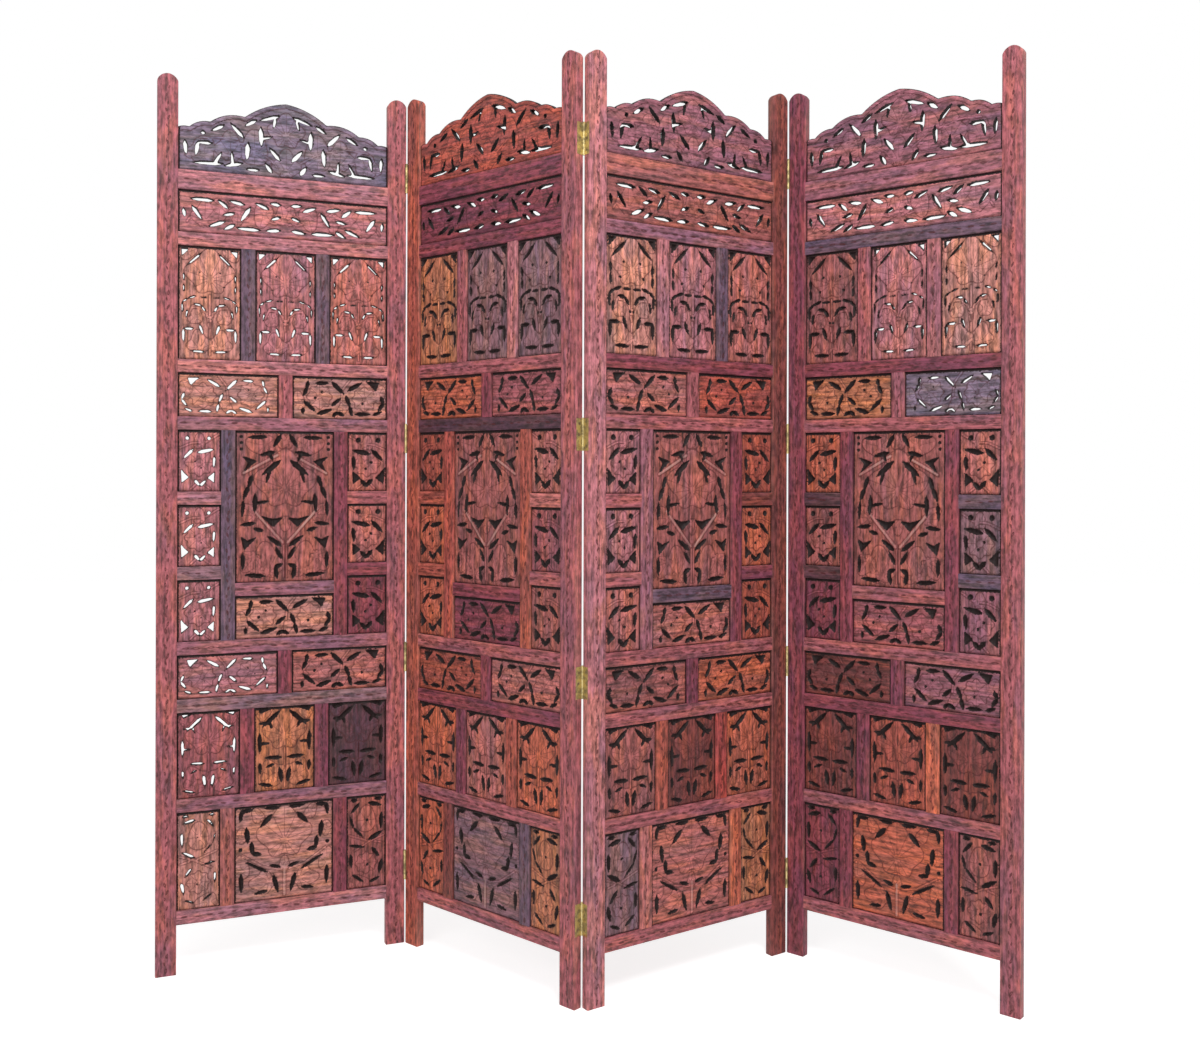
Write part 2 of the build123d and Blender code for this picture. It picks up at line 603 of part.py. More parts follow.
def hinge_pin():
    """The pin with its round head on the top knuckle, about the hinge's middle."""
    shank = Cylinder(PIN_RADIUS, 2 * KNUCKLE_TOP)
    head = Cylinder(PIN_HEAD_RADIUS, PIN_HEAD_HEIGHT, align=(Align.CENTER, Align.CENTER, Align.MIN))
    return shank + Pos(0, 0, KNUCKLE_TOP) * head


def axis_place(junction, side):
    """The hinge axis of a junction in the frame of the leaf on this side of it."""
    x = LEAF_WIDTH + EDGE_GAP / 2 if side < 0 else -EDGE_GAP / 2
    return Location((x, HINGE_SIDES[junction] * AXIS_Y, 0))


def leaf_places():
    """Where the four leaves stand, centred on the middle of the floor area they cover."""
    places = [Location((0, 0, 0), (0, 0, LEAF_ANGLES[0]))]
    for junction in range(3):
        turn = Location((0, 0, 0), (0, 0, LEAF_ANGLES[junction + 1] - LEAF_ANGLES[junction]))
        to_axis = places[junction] * axis_place(junction, -1)
        places.append(to_axis * turn * axis_place(junction, 1).inverse())
    corners = []
    for place in places:
        for x in (0, LEAF_WIDTH):
            for y in across(FRAME_THICKNESS):
                corners.append((place * Location((x, y, 0))).position)
    middle_x = (min(c.X for c in corners) + max(c.X for c in corners)) / 2
    middle_y = (min(c.Y for c in corners) + max(c.Y for c in corners)) / 2
    return [Location((-middle_x, -middle_y, 0)) * place for place in places]


def plate_screws(junction, side):
    """The screws of the four plates of a junction on one leaf, in that leaf's frame."""
    edge = axis_place(junction, side).position.X + side * PLATE_GAP / 2
    turned = screw() if side < 0 else Rot(0, 0, 180) * screw()
    return [Pos(edge, 0, level + rise) * turned for level in HINGE_LEVELS for rise in screw_levels()]


def hinge_plates(junction, side, own_knuckles):
    """The four plates of a junction on one leaf, in that leaf's frame."""
    plate = hinge_plate(side, -HINGE_SIDES[junction], own_knuckles)
    return [axis_place(junction, side) * Pos(0, 0, level) * plate for level in HINGE_LEVELS]


def hinge_pins(junction, side):
    """The four pins of a junction, in the frame of the leaf that holds them."""
    return [axis_place(junction, side) * Pos(0, 0, level) * hinge_pin() for level in HINGE_LEVELS]


def save(name, place, solids):
    """Write one node: its solids moved from the leaf's frame to the screen's."""
    export_step(Compound(children=[place * solid for solid in solids], label=name), f"parts/{name}.step")


os.makedirs("parts", exist_ok=True)
PLACES = leaf_places()

LEAF_NODES = {
    "rails": full_rails(),
    "muntins": muntins_and_short_rails(),
    "upright_boards": upright_boards(),
    "wide_boards": wide_boards(),
    "small_boards": small_boards(),
    "centre_board": centre_board(),
    "bottom_boards": bottom_boards(),
    "frieze": frieze_board(),
    "crest": [Pos(LEAF_WIDTH / 2, 0, ROWS["crest"]) * crest_board()],
}

OUTER_KNUCKLES = range(0, KNUCKLE_COUNT, 2)
INNER_KNUCKLES = range(1, KNUCKLE_COUNT, 2)
# the leaf that carries the pin and the outer knuckles of each junction: -1 left of it, 1 right
PIN_SIDES = (1, -1, -1)

for leaf, place in enumerate(PLACES, start=1):
    for name, solids in LEAF_NODES.items():
        save(f"leaf_{leaf}_{name}", place, solids)
    save(f"leaf_{leaf}_left_stile", place, [stile(-1, HINGE_SIDES[leaf - 2] if leaf > 1 else 0)])
    save(f"leaf_{leaf}_right_stile", place, [stile(1, HINGE_SIDES[leaf - 1] if leaf < 4 else 0)])
    screws = []
    if leaf > 1:
        screws += plate_screws(leaf - 2, 1)
    if leaf < 4:
        screws += plate_screws(leaf - 1, -1)
    save(f"leaf_{leaf}_hinge_screws", place, screws)

for junction in range(3):
    pair = f"{junction + 1}{junction + 2}"
    for side in (-1, 1):
        leaf = junction if side < 0 else junction + 1
        holds_pin = side == PIN_SIDES[junction]
        own = OUTER_KNUCKLES if holds_pin else INNER_KNUCKLES
        save(f"hinge_{pair}_plates_leaf_{leaf + 1}", PLACES[leaf], hinge_plates(junction, side, own))
        if holds_pin:
            save(f"hinge_{pair}_pins", PLACES[leaf], hinge_pins(junction, side))
    axis = (PLACES[junction] * axis_place(junction, -1)).position
    print(f"fold_{pair}: axis at x {axis.X / 1000:.5f}, y {axis.Y / 1000:.5f} m")

for leaf, place in enumerate(PLACES, start=1):
    foot = (place * Location((STILE_WIDTH / 2, 0, 0))).position
    print(f"leaf_{leaf}: left foot at x {foot.X / 1000:.5f}, y {foot.Y / 1000:.5f} m")
print(f"stile top {STILE_TOP:.1f}, top rail {ROWS['crest']:.1f}, hinges {HINGE_LEVELS}")
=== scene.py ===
# %% [markdown]
# # A carved folding screen
# Four leaves stand in a zigzag. Every leaf is a ladder of grooved bars that holds pierced boards.
# The imported model gives the real shapes and places, and this script gives them carving, stain and light.
# They could be modelled afresh, but then the folds and the sizes would have to be matched by hand. So the
# script first loads that model.

# %% Load the fixed frame
import json
import bpy
import numpy as np
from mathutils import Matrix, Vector


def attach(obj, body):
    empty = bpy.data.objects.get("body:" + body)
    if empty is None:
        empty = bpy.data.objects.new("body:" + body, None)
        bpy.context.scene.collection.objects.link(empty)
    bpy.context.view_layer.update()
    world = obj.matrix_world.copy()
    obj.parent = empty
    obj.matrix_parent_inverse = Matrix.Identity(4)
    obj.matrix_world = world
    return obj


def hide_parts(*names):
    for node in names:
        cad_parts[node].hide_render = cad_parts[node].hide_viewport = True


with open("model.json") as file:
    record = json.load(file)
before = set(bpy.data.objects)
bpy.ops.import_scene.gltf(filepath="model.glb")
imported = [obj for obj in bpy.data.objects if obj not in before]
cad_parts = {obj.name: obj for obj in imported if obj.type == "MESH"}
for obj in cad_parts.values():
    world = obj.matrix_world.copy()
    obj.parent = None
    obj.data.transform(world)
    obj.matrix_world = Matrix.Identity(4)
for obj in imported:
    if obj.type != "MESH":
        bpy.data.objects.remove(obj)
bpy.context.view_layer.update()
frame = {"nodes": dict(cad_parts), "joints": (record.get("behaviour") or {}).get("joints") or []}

# %% [markdown]
# ## The maker's sizes
# The four leaves are made to one drawing, so the sizes are written down once. All the carving is
# worked out in millimetres in a leaf's own frame: x along its width, y from its front to its back
# with 0 in the middle of its thickness, z up from the floor. A joiner measures a leaf lying on the
# bench in the same way, and no turned angle gets into the sums.

# %% Sizes of a leaf
LEAF_WIDTH = 508.0
STILE_WIDTH = 40.0
MUNTIN = 28.0
RAIL = 27.0
SIDE_COLUMN = 85.0
CREST_PEAK = 156.0
# height of each full rail and of the clear row above it, from the lowest rail up
LEG_HEIGHT = 100.0
LADDER = (("bottom", 28.0, 200.0), ("short", RAIL, 176.0), ("low_wide", RAIL, 90.0),
          ("block", RAIL, 433.0), ("high_wide", RAIL, 90.0), ("tall", RAIL, 232.0),
          ("frieze", RAIL, 87.0), ("crest", 40.0, CREST_PEAK))

CLEAR_LEFT = STILE_WIDTH
CLEAR_WIDTH = LEAF_WIDTH - 2 * STILE_WIDTH
CENTRE_COLUMN = CLEAR_WIDTH - 2 * SIDE_COLUMN - 2 * MUNTIN
THIRD_COLUMN = (CLEAR_WIDTH - 2 * MUNTIN) / 3
HALF_COLUMN = (CLEAR_WIDTH - MUNTIN) / 2
rail_heights = np.array([rung[1] for rung in LADDER])
row_heights = np.array([rung[2] for rung in LADDER])
rail_levels = LEG_HEIGHT + np.concatenate([[0.0], np.cumsum(rail_heights + row_heights)[:-1]])
ROWS = {rung[0]: level + rung[1] for rung, level in zip(LADDER, rail_levels)}
ROW_HEIGHT = {rung[0]: rung[2] for rung in LADDER}
print("rows start at", {name: float(level) for name, level in ROWS.items()})

# %% [markdown]
# The screen stands in a zigzag, which keeps it upright. Each leaf could be turned as a finished
# object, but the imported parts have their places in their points, so the carving does the same: a
# leaf's points are turned and slid until its fold axis lies on the joint's axis.

# %% Where the leaves stand
LEAF_ANGLES = (22.4, -41.8, 34.9, -39.5)
# the gap between two leaves in line, and how far the fold axis lies from a leaf's middle
EDGE_GAP = 1.0
AXIS_Y = 10.5
# each junction folds about the front (-1) or the back (1)
HINGE_SIDES = (-1, 1, -1)
LEAF_AXES = (("fold_12", LEAF_WIDTH + EDGE_GAP / 2, -AXIS_Y), ("fold_12", -EDGE_GAP / 2, -AXIS_Y),
             ("fold_23", -EDGE_GAP / 2, AXIS_Y), ("fold_34", -EDGE_GAP / 2, -AXIS_Y))
fold_places = {joint["name"]: 1000 * np.array(joint["pos_m"]) for joint in frame["joints"]}


def stand(points, leaf):
    """Points of a leaf, in millimetres, moved to the floor plan in metres.

    A point is measured from the leaf's fold axis, turned about Z by the leaf's angle, and added
    to the place of the joint.
    """
    fold, axis_x, axis_y = LEAF_AXES[leaf]
    angle = np.radians(LEAF_ANGLES[leaf])
    turn = np.array([[np.cos(angle), np.sin(angle), 0], [-np.sin(angle), np.cos(angle), 0], [0, 0, 1]])
    return ((points - np.array([axis_x, axis_y, 0.0])) @ turn + fold_places[fold]) / 1000


print("leaf 1 starts at", np.round(stand(np.zeros((1, 3)), 0), 3))

# %% [markdown]
# ## Shapes
# A shape is a set of points, its faces, and four marks on every point. The marks are read by the wood
# material: how high the carving stands, which paints high edges paler as wear and highlight and low ground
# darker as shade; where the point lies in the grain; how far it is from the holes and the chisel's lines,
# where shade is painted dark; and its stain. Marks cost little and go wherever the surface goes, so the dark
# lines painted as shade stay in their grooves without any image texture.


# %% Shapes
class Shape:
    """Points in a leaf's frame, faces as index arrays, and the marks of every point."""

    def __init__(self, points, faces, lift, grain, chisel, stain=(0.5, 0.5, 0.5)):
        self.points, self.faces, self.lift, self.grain, self.chisel = points, faces, lift, grain, chisel
        self.stain = np.broadcast_to(np.asarray(stain, float), points.shape)

    def placed(self, offset, stain, seed, mirror=False):
        """A copy moved by offset, in its own stain and with its own figure in the grain."""
        side = np.array([-1.0 if mirror else 1.0, 1.0, 1.0])
        faces = [face[:, ::-1] for face in self.faces] if mirror else self.faces
        grain = self.grain + np.array([0.37, 0.61, 1.0]) * seed
        return Shape(self.points * side + np.asarray(offset), faces, self.lift, grain, self.chisel, stain)


def joined(shapes):
    """Several shapes as one."""
    starts = np.cumsum([0] + [len(shape.points) for shape in shapes])
    faces = [face + start for shape, start in zip(shapes, starts) for face in shape.faces]
    marks = [np.concatenate([getattr(shape, mark) for shape in shapes])
             for mark in ("points", "lift", "grain", "chisel", "stain")]
    return Shape(marks[0], faces, *marks[1:])


print("every point carries", ("lift", "grain", "chisel", "stain"))

# %% [markdown]
# A shape becomes an object in one go: whole arrays go into the mesh with foreach_set, which is
# hundreds of times quicker than adding points one by one. The object takes the place of the packed
# piece of the same name, so it moves with that piece's leaf.

# %% From a shape to an object
SHARP_ANGLE = 42


def make_object(node, shape, leaf):
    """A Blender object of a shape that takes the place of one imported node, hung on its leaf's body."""
    name = f"{node}_carved"
    mesh = bpy.data.meshes.new(name)
    sizes = np.concatenate([np.full(len(face), face.shape[1]) for face in shape.faces])
    corners = np.concatenate([face.ravel() for face in shape.faces])
    mesh.vertices.add(len(shape.points))
    mesh.vertices.foreach_set("co", stand(shape.points, leaf).ravel())
    mesh.loops.add(len(corners))
    mesh.loops.foreach_set("vertex_index", corners.astype(np.int32))
    mesh.polygons.add(len(sizes))
    mesh.polygons.foreach_set("loop_start", (np.cumsum(sizes) - sizes).astype(np.int32))
    mesh.update(calc_edges=True)
    mesh.polygons.foreach_set("use_smooth", np.ones(len(sizes), bool))
    mesh.set_sharp_from_angle(angle=np.radians(SHARP_ANGLE))
    mesh.attributes.new("lift", "FLOAT", "POINT").data.foreach_set("value", shape.lift.astype(np.float32))
    for mark in ("grain", "chisel"):
        values = getattr(shape, mark).ravel()
        mesh.attributes.new(mark, "FLOAT_VECTOR", "POINT").data.foreach_set("vector", values)
    stain = np.column_stack([shape.stain, np.ones(len(shape.stain))])
    mesh.attributes.new("stain", "FLOAT_COLOR", "POINT").data.foreach_set("color", stain.ravel())
    piece = bpy.data.objects.new(name, mesh)
    bpy.context.scene.collection.objects.link(piece)
    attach(piece, f"leaf_{leaf + 1}")
    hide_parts(node)
    return piece


print("edges sharper than", SHARP_ANGLE, "degrees stay crisp")

# %% [markdown]
# ## Cuts
# The pattern of the screen is a garden, sawn through the boards: what is left between the holes reads as
# leaves and flowers. The holes are drawn one by one, as a carver would draw them on the wood, because no rule
# gives such a pattern. A cut is a width and its points, as fractions of a board's half width and half height.
# One point is a round hole. Two points are a gouged slot between them, and a third point is one more slot
# that runs on. A width of 0 means that the points are the corners themselves. Most boards are symmetric, so
# only their right half is drawn.
#
# The upright boards come first: the tall ones of the upper row and the short ones near the foot.

# %% Cuts of the upright boards
TALL_CUTS = (
    (0, (0.62, 0.95), (0.90, 0.95), (0.88, 0.80)),
    (6, (0.25, 0.89), (0.74, 0.64)),
    (4, (0.32, 0.54)),
    (4, (0.45, 0.29)),
    (5, (0.82, 0.52), (0.80, 0.36)),
    (5, (0.82, 0.32), (0.80, 0.17)),
    (4, (0.07, 0.10), (0.34, 0.10)),
    (5, (0.42, 0.12), (0.70, 0.07)),
    (5, (0.70, 0.07), (0.86, 0.00), (0.85, -0.20)),
    (6, (0.14, -0.15), (0.26, -0.04), (0.50, -0.02)),
    (5, (0.70, -0.12), (0.74, -0.27)),
    (4, (0.06, -0.28)),
    (7, (0.32, -0.38), (0.20, -0.56)),
    (7, (0.50, -0.46), (0.82, -0.46), (0.83, -0.70)),
    (6, (0.14, -0.86), (0.62, -0.85)),
)
SHORT_CUTS = (
    (0, (0.46, 0.95), (0.86, 0.95), (0.80, 0.86)),
    (8, (0.18, 0.88), (0.70, 0.55)),
    (5, (0.54, 0.68), (0.42, 0.50)),
    (5, (0.60, 0.62), (0.82, 0.62)),
    (7, (0.82, 0.36), (0.81, -0.06)),
    (5, (0.84, 0.13), (0.52, 0.14)),
    (7, (0.12, -0.22), (0.62, -0.20)),
    (5, (0.36, -0.36), (0.58, -0.42)),
    (8, (0.16, -0.48), (0.10, -0.78)),
    (6, (0.81, -0.34), (0.80, -0.55)),
    (6, (0.42, -0.88), (0.82, -0.81)),
)
print("cuts in half a tall board:", len(TALL_CUTS), "and in half a short one:", len(SHORT_CUTS))

# %% [markdown]
# The centre board is the largest of a leaf and shows the whole plant: a stem that forks, leaves
# on both sides and a great leaf at its top.

# %% Cuts of the centre board
CENTRE_CUTS = (
    (5, (0.88, 0.92)),
    (5, (0.88, 0.84)),
    (5, (0.88, 0.76)),
    (7, (0.38, 0.92), (0.72, 0.91)),
    (8, (0.10, 0.94), (0.23, 0.80)),
    (8, (0.22, 0.72), (0.50, 0.68)),
    (5, (0.33, 0.72), (0.26, 0.61)),
    (0, (0.58, 0.60), (0.86, 0.66), (0.74, 0.58), (0.82, 0.47)),
    (10, (0.12, 0.60), (0.44, 0.43)),
    (6, (0.30, 0.51), (0.38, 0.33)),
    (8, (0.67, 0.40), (0.74, 0.26), (0.83, 0.12)),
    (8, (0.60, 0.16), (0.62, -0.07)),
    (5, (0.62, 0.04), (0.34, 0.07)),
    (6, (0.84, 0.07), (0.86, -0.12)),
    (7, (0.62, -0.22), (0.88, -0.24)),
    (0, (0.06, -0.15), (0.26, -0.17), (0.47, -0.13), (0.25, -0.27)),
    (8, (0.09, -0.52), (0.34, -0.40)),
    (7, (0.46, -0.32), (0.62, -0.29)),
    (7, (0.07, -0.69), (0.19, -0.55)),
    (0, (0.59, -0.41), (0.76, -0.45), (0.88, -0.40), (0.82, -0.56), (0.72, -0.50)),
    (7, (0.85, -0.62), (0.85, -0.82)),
    (8, (0.42, -0.92), (0.78, -0.90)),
    (8, (0.16, -0.94), (0.20, -0.80), (0.08, -0.77)),
)
print("cuts in half a centre board:", len(CENTRE_CUTS))

# %% [markdown]
# A wide board has two flowers with different cuts round them. It is no mirror image of itself, so
# it is drawn whole. The bottom board, nearly square, is symmetric again.

# %% Cuts of the wide and the bottom boards
WIDE_CUTS = (
    (7, (-0.68, 0.72), (-0.70, 0.42), (-0.77, 0.12)),
    (7, (-0.50, 0.68), (-0.27, 0.70)),
    (8, (-0.17, 0.74), (0.06, 0.22)),
    (8, (0.17, 0.38), (0.43, 0.72)),
    (0, (0.55, 0.80), (0.82, 0.78), (0.75, 0.38), (0.66, 0.60)),
    (7, (-0.76, -0.18), (-0.53, -0.64)),
    (7, (-0.17, -0.34), (-0.01, -0.04)),
    (7, (0.12, 0.08), (0.20, -0.36)),
    (7, (0.20, -0.40), (0.24, -0.80)),
    (7, (0.87, 0.08), (0.92, -0.22), (0.82, -0.52)),
    (8, (-0.47, -0.76), (-0.19, -0.55)),
    (7, (-0.15, -0.82), (-0.05, -0.68), (0.06, -0.82)),
    (7, (0.33, -0.75), (0.61, -0.74)),
    (6, (0.71, -0.76), (0.87, -0.62)),
    (6, (-0.79, -0.52), (-0.78, -0.74)),
    (4, (-0.53, -0.02)),
    (4, (-0.39, 0.28)),
    (4, (0.47, -0.24)),
)
BOTTOM_CUTS = (
    (7, (0.12, 0.91), (0.38, 0.92)),
    (9, (0.27, 0.76), (0.46, 0.56)),
    (7, (0.66, 0.91), (0.86, 0.90), (0.88, 0.70)),
    (9, (0.76, 0.52), (0.73, 0.24)),
    (8, (0.66, 0.22), (0.64, 0.00), (0.48, -0.03)),
    (6, (0.88, 0.10)),
    (5, (0.34, -0.42), (0.78, -0.16)),
    (6, (0.10, -0.33), (0.28, -0.28)),
    (8, (0.22, -0.50), (0.13, -0.84)),
    (8, (0.87, -0.42), (0.86, -0.76)),
    (6, (0.36, -0.80), (0.58, -0.84)),
)
print("cuts in a wide board:", len(WIDE_CUTS), "and in half a bottom board:", len(BOTTOM_CUTS))

# %% [markdown]
# The frieze is a running vine. Its cuts are long and close together, because light has to come
# through it. The crest above it is cut in the same way, under its arched edge. Its fractions are
# of half the clear width, and of the peak's height above the rail.

# %% Cuts of the frieze and the crest
FRIEZE_CUTS = (
    (6, (0.95, 0.08), (0.94, -0.24)),
    (7, (0.87, 0.24), (0.79, -0.32)),
    (7, (0.68, 0.58), (0.88, 0.60)),
    (7, (0.55, 0.28), (0.63, 0.60)),
    (7, (0.40, 0.50), (0.52, 0.62)),
    (6, (0.49, 0.04), (0.58, -0.06)),
    (7, (0.34, 0.36), (0.42, -0.26)),
    (7, (0.58, -0.38), (0.71, -0.64)),
    (7, (0.49, -0.50), (0.57, -0.72)),
    (7, (0.25, -0.66), (0.46, -0.64)),
    (7, (0.06, -0.60), (0.18, -0.67)),
    (7, (0.17, 0.38), (0.28, 0.60)),
    (7, (0.06, 0.62), (0.14, 0.66)),
    (6, (0.06, 0.02), (0.13, -0.10)),
)
CREST_CUTS = (
    (7, (0.07, 0.83), (0.24, 0.75)),
    (5, (0.10, 0.80), (0.12, 0.67)),
    (7, (0.29, 0.74), (0.38, 0.66)),
    (9, (0.24, 0.64), (0.235, 0.42)),
    (5, (0.25, 0.50), (0.14, 0.54)),
    (8, (0.06, 0.24), (0.15, 0.38)),
    (8, (0.405, 0.50), (0.515, 0.66)),
    (7, (0.59, 0.63), (0.69, 0.55)),
    (7, (0.775, 0.51)),
    (7, (0.70, 0.38), (0.82, 0.38), (0.84, 0.22)),
    (7, (0.94, 0.38), (0.93, 0.22)),
    (7, (0.60, 0.12), (0.86, 0.11)),
    (5, (0.67, 0.12), (0.61, 0.26)),
    (7, (0.42, 0.15), (0.57, 0.10)),
    (5, (0.50, 0.12), (0.51, 0.28)),
    (9, (0.36, 0.42), (0.37, 0.22)),
    (6, (0.26, 0.08), (0.37, 0.08)),
    (8, (0.14, 0.07), (0.19, 0.17)),
)
print("cuts in half a frieze:", len(FRIEZE_CUTS), "and in half a crest:", len(CREST_CUTS))

# %% [markdown]
# The smallest boards each hold one flower with a bud. They sit beside the centre board and beside
# the bottom board, and are drawn whole, because a carver bends such a flower to one side.

# %% Cuts of the small and the side boards
SMALL_CUTS = (
    (9, (-0.55, 0.73)),
    (9, (0.45, 0.73)),
    (8, (-0.26, 0.38), (-0.74, 0.06)),
    (9, (-0.10, 0.26), (0.70, 0.38)),
    (7, (0.70, 0.16), (0.66, -0.24)),
    (0, (-0.86, -0.22), (-0.66, -0.40), (-0.44, -0.54), (-0.82, -0.74)),
    (8, (-0.22, -0.62), (0.04, -0.82), (0.30, -0.64)),
    (0, (0.34, -0.56), (0.72, -0.34), (0.70, -0.74), (0.52, -0.64)),
    (4, (-0.20, -0.02)),
    (4, (0.08, -0.24)),
)
SIDE_CUTS = (
    (6, (-0.74, 0.90), (-0.46, 0.90)),
    (6, (0.44, 0.90), (0.76, 0.90)),
    (8, (0.14, 0.82), (0.70, 0.76)),
    (6, (-0.38, 0.82), (-0.74, 0.64)),
    (4, (-0.80, 0.54), (-0.66, 0.32), (-0.18, 0.10)),
    (7, (0.76, 0.58), (0.74, 0.28)),
    (8, (0.16, 0.04), (0.76, 0.18)),
    (5, (-0.82, -0.06), (-0.12, -0.12)),
    (7, (0.30, -0.16), (0.62, -0.34)),
    (6, (-0.77, -0.26), (-0.76, -0.52)),
    (8, (0.78, -0.44), (0.66, -0.68)),
    (5, (-0.66, -0.70), (-0.16, -0.86)),
    (5, (0.18, -0.88), (0.64, -0.80)),
    (4, (0.04, 0.46)),
    (4, (0.06, -0.50)),
)
print("cuts in a small board:", len(SMALL_CUTS), "and in a side board:", len(SIDE_CUTS))

# %% [markdown]
# Two helpers turn the drawing into outlines. One adds the mirrored half, and the other gives a
# slot the shape that a gouge leaves: deep where it went in, and drawn out to a point.

# %% From strokes to outlines
def mirrored(marks):
    """The same cuts or carved forms on the other half of a board."""
    return tuple(mark[:1] + tuple((-u, v) for u, v in mark[1:]) for mark in marks)


def gouge_corners(start, end, width):
    """Corners round a gouged slot between two points: drawn to a point at both ends.

    The tips lie a third of the width beyond the two points. The slot is widest a quarter of the
    way along and four fifths as wide at three quarters.
    """
    run = np.subtract(end, start)
    step = run / np.hypot(*run)
    across = np.array([-step[1], step[0]]) * width / 2
    near, far = start + run / 4, start + run * 3 / 4
    return np.array([start - step * width / 3, near + across, far + 0.8 * across,
                     end + step * width / 3, far - 0.8 * across, near - across])


print("corners of a gouged slot:", len(gouge_corners((0.0, 0.0), (10.0, 0.0), 3.0)))

# %% [markdown]
# ## Distances
# A chisel follows lines at an even distance, so the piercing and the carving are worked out from
# distances: to a line, to an outline and to the nearest cut. Boolean modifiers could cut the holes
# as well, but they say nothing about how far the wood around them is from an edge, and the bevels
# and the dark stain need just that. Each function takes whole arrays of points.


# %% Distance functions
def line_distance(x, z, start, end):
    """Distance from each point to the nearest point of a straight line between two ends."""
    run = np.subtract(end, start)
    share = np.clip(((x - start[0]) * run[0] + (z - start[1]) * run[1]) / (run @ run), 0, 1)
    return np.hypot(x - start[0] - share * run[0], z - start[1] - share * run[1])


def outline_distance(x, z, corners):
    """Distance to a closed outline, below 0 inside it.

    A point is inside when a ray from it towards +x crosses the outline an odd number of times.
    """
    nearest = np.full(np.shape(x), np.inf)
    crossings = np.zeros(np.shape(x), bool)
    for start, end in zip(corners, np.roll(corners, -1, axis=0)):
        nearest = np.minimum(nearest, line_distance(x, z, start, end))
        spans = (start[1] > z) != (end[1] > z)
        rise = end[1] - start[1] if end[1] != start[1] else 1.0
        crossings ^= spans & (x < start[0] + (z - start[1]) * (end[0] - start[0]) / rise)
    return np.where(crossings, -nearest, nearest)


def cut_distance(x, z, cuts, half, closed=0.0):
    """Distance to the nearest cut of a board, below 0 inside a hole.

    Cuts that are given by their corners are the broad ones, and count as this much farther away.
    """
    nearest = np.full(np.shape(x), np.inf)
    for width, *fractions in cuts:
        points = np.array(fractions) * half
        if width == 0:
            nearest = np.minimum(nearest, outline_distance(x, z, points) + closed)
        elif len(points) == 1:
            nearest = np.minimum(nearest, np.hypot(x - points[0, 0], z - points[0, 1]) - width / 2)
        else:
            for start, end in zip(points, points[1:]):
                nearest = np.minimum(nearest, outline_distance(x, z, gouge_corners(start, end, width)))
    return nearest


def ease(value):
    """A smooth step from 0 to 1 as the value goes from 0 to 1."""
    value = np.clip(value, 0, 1)
    return value * value * (3 - 2 * value)


print("halfway up a step, ease gives", ease(0.5))

# %% [markdown]
# ## Carved forms
# The garden of the screen has two families of forms. Leaves, flowers, buds and buttons are lobed outlines
# about a heart. Stems are ribbons along a line. They could be sculpted one by one, but a formula per family
# gives hundreds of crisp forms from a few numbers each. Each form is known by two distances: how far a point
# lies inside its outline, and how far from its veins. The heights and the dark lines painted as shade in the
# grooves and veins both follow from these.


# %% Leaves, flowers and stems
NO_VEIN = 6.0
HEART = 5.0
BUTTON_DAB = 3.0


def lobed_distances(x, z, heart, tip, kind):
    """Distance inside a lobed outline, below 0 outside it, and distance from its veins.

    In polar coordinates about the heart, the outline's radius is the distance to the tip times
    1 - depth + depth * cos(lobes * angle), and lean draws it in towards the back by the squared
    sine of half the angle. The veins lie where sin(veins * angle / 2) is 0. They stop short of
    the heart, where a bell of NO_VEIN is added. A form without veins has a dab of dark at its heart.
    """
    reach = np.subtract(tip, heart)
    length = np.hypot(*reach)
    along = ((x - heart[0]) * reach[0] + (z - heart[1]) * reach[1]) / length
    across = ((z - heart[1]) * reach[0] - (x - heart[0]) * reach[1]) / length / kind["spread"]
    radius, angle = np.hypot(along, across), np.arctan2(across, along)
    outline = length * (1 - kind["depth"] + kind["depth"] * np.cos(kind["lobes"] * angle))
    outline = outline * (1 - kind["lean"] * np.sin(angle / 2) ** 2)
    veins = kind["veins"]
    if veins == 0:
        return outline - radius, radius / BUTTON_DAB
    off_vein = radius * np.sin(veins * angle / 2) * 2 / veins + NO_VEIN * np.exp(-(radius / HEART) ** 2)
    return outline - radius, off_vein


def stem_distances(x, z, points, kind):
    """Distance inside a ribbon of the stem's width along a line. A stem has no veins."""
    nearest = np.full(np.shape(x), np.inf)
    for start, end in zip(points, points[1:]):
        nearest = np.minimum(nearest, line_distance(x, z, start, end))
    return kind["width"] / 2 - nearest, np.full(np.shape(x), NO_VEIN)


print("farther than", NO_VEIN, "mm from a vein the wood shows no line")

# %% [markdown]
# The forms are laid down in order, as a carver sets out a board: a later form covers an earlier one,
# and a groove runs round it. Inside its groove a form swells up to the face of the board.

# %% Carve the forms
GROUND_DEPTH = 0.9
GROOVE_DEPTH = 1.5
GROOVE_REACH = 1.0
ROUNDING = 5.0
STEM_ROUNDING = 3.0
VEIN_DEPTH = 0.45
VEIN_WIDTH = 1.5


def carve(x, z, forms, half):
    """Height, distance inside the outline and distance from the veins, at every point of a board.

    A form's height = rise - (groove depth + rise) * (1 - ease(distance inside / rounding)), less
    a bell of vein depth on every vein. Between the forms lies the ground.
    """
    height = np.full(np.shape(x), -GROUND_DEPTH)
    rim = np.full(np.shape(x), -2 * GROOVE_REACH)
    vein = np.full(np.shape(x), NO_VEIN)
    for kind, *fractions in forms:
        points = np.array(fractions) * half
        if "width" in kind:
            inside, off_vein = stem_distances(x, z, points, kind)
        else:
            inside, off_vein = lobed_distances(x, z, points[0], points[1], kind)
        climb = ease((inside + GROOVE_REACH) / (STEM_ROUNDING if "width" in kind else ROUNDING))
        surface = kind["rise"] - (GROOVE_DEPTH + kind["rise"]) * (1 - climb)
        surface = surface - VEIN_DEPTH * np.exp(-(off_vein / VEIN_WIDTH) ** 2)
        over = inside > -GROOVE_REACH
        height = np.where(over, surface, height)
        rim = np.where(over, inside, rim)
        vein = np.where(over, off_vein, vein)
    return height, rim, vein


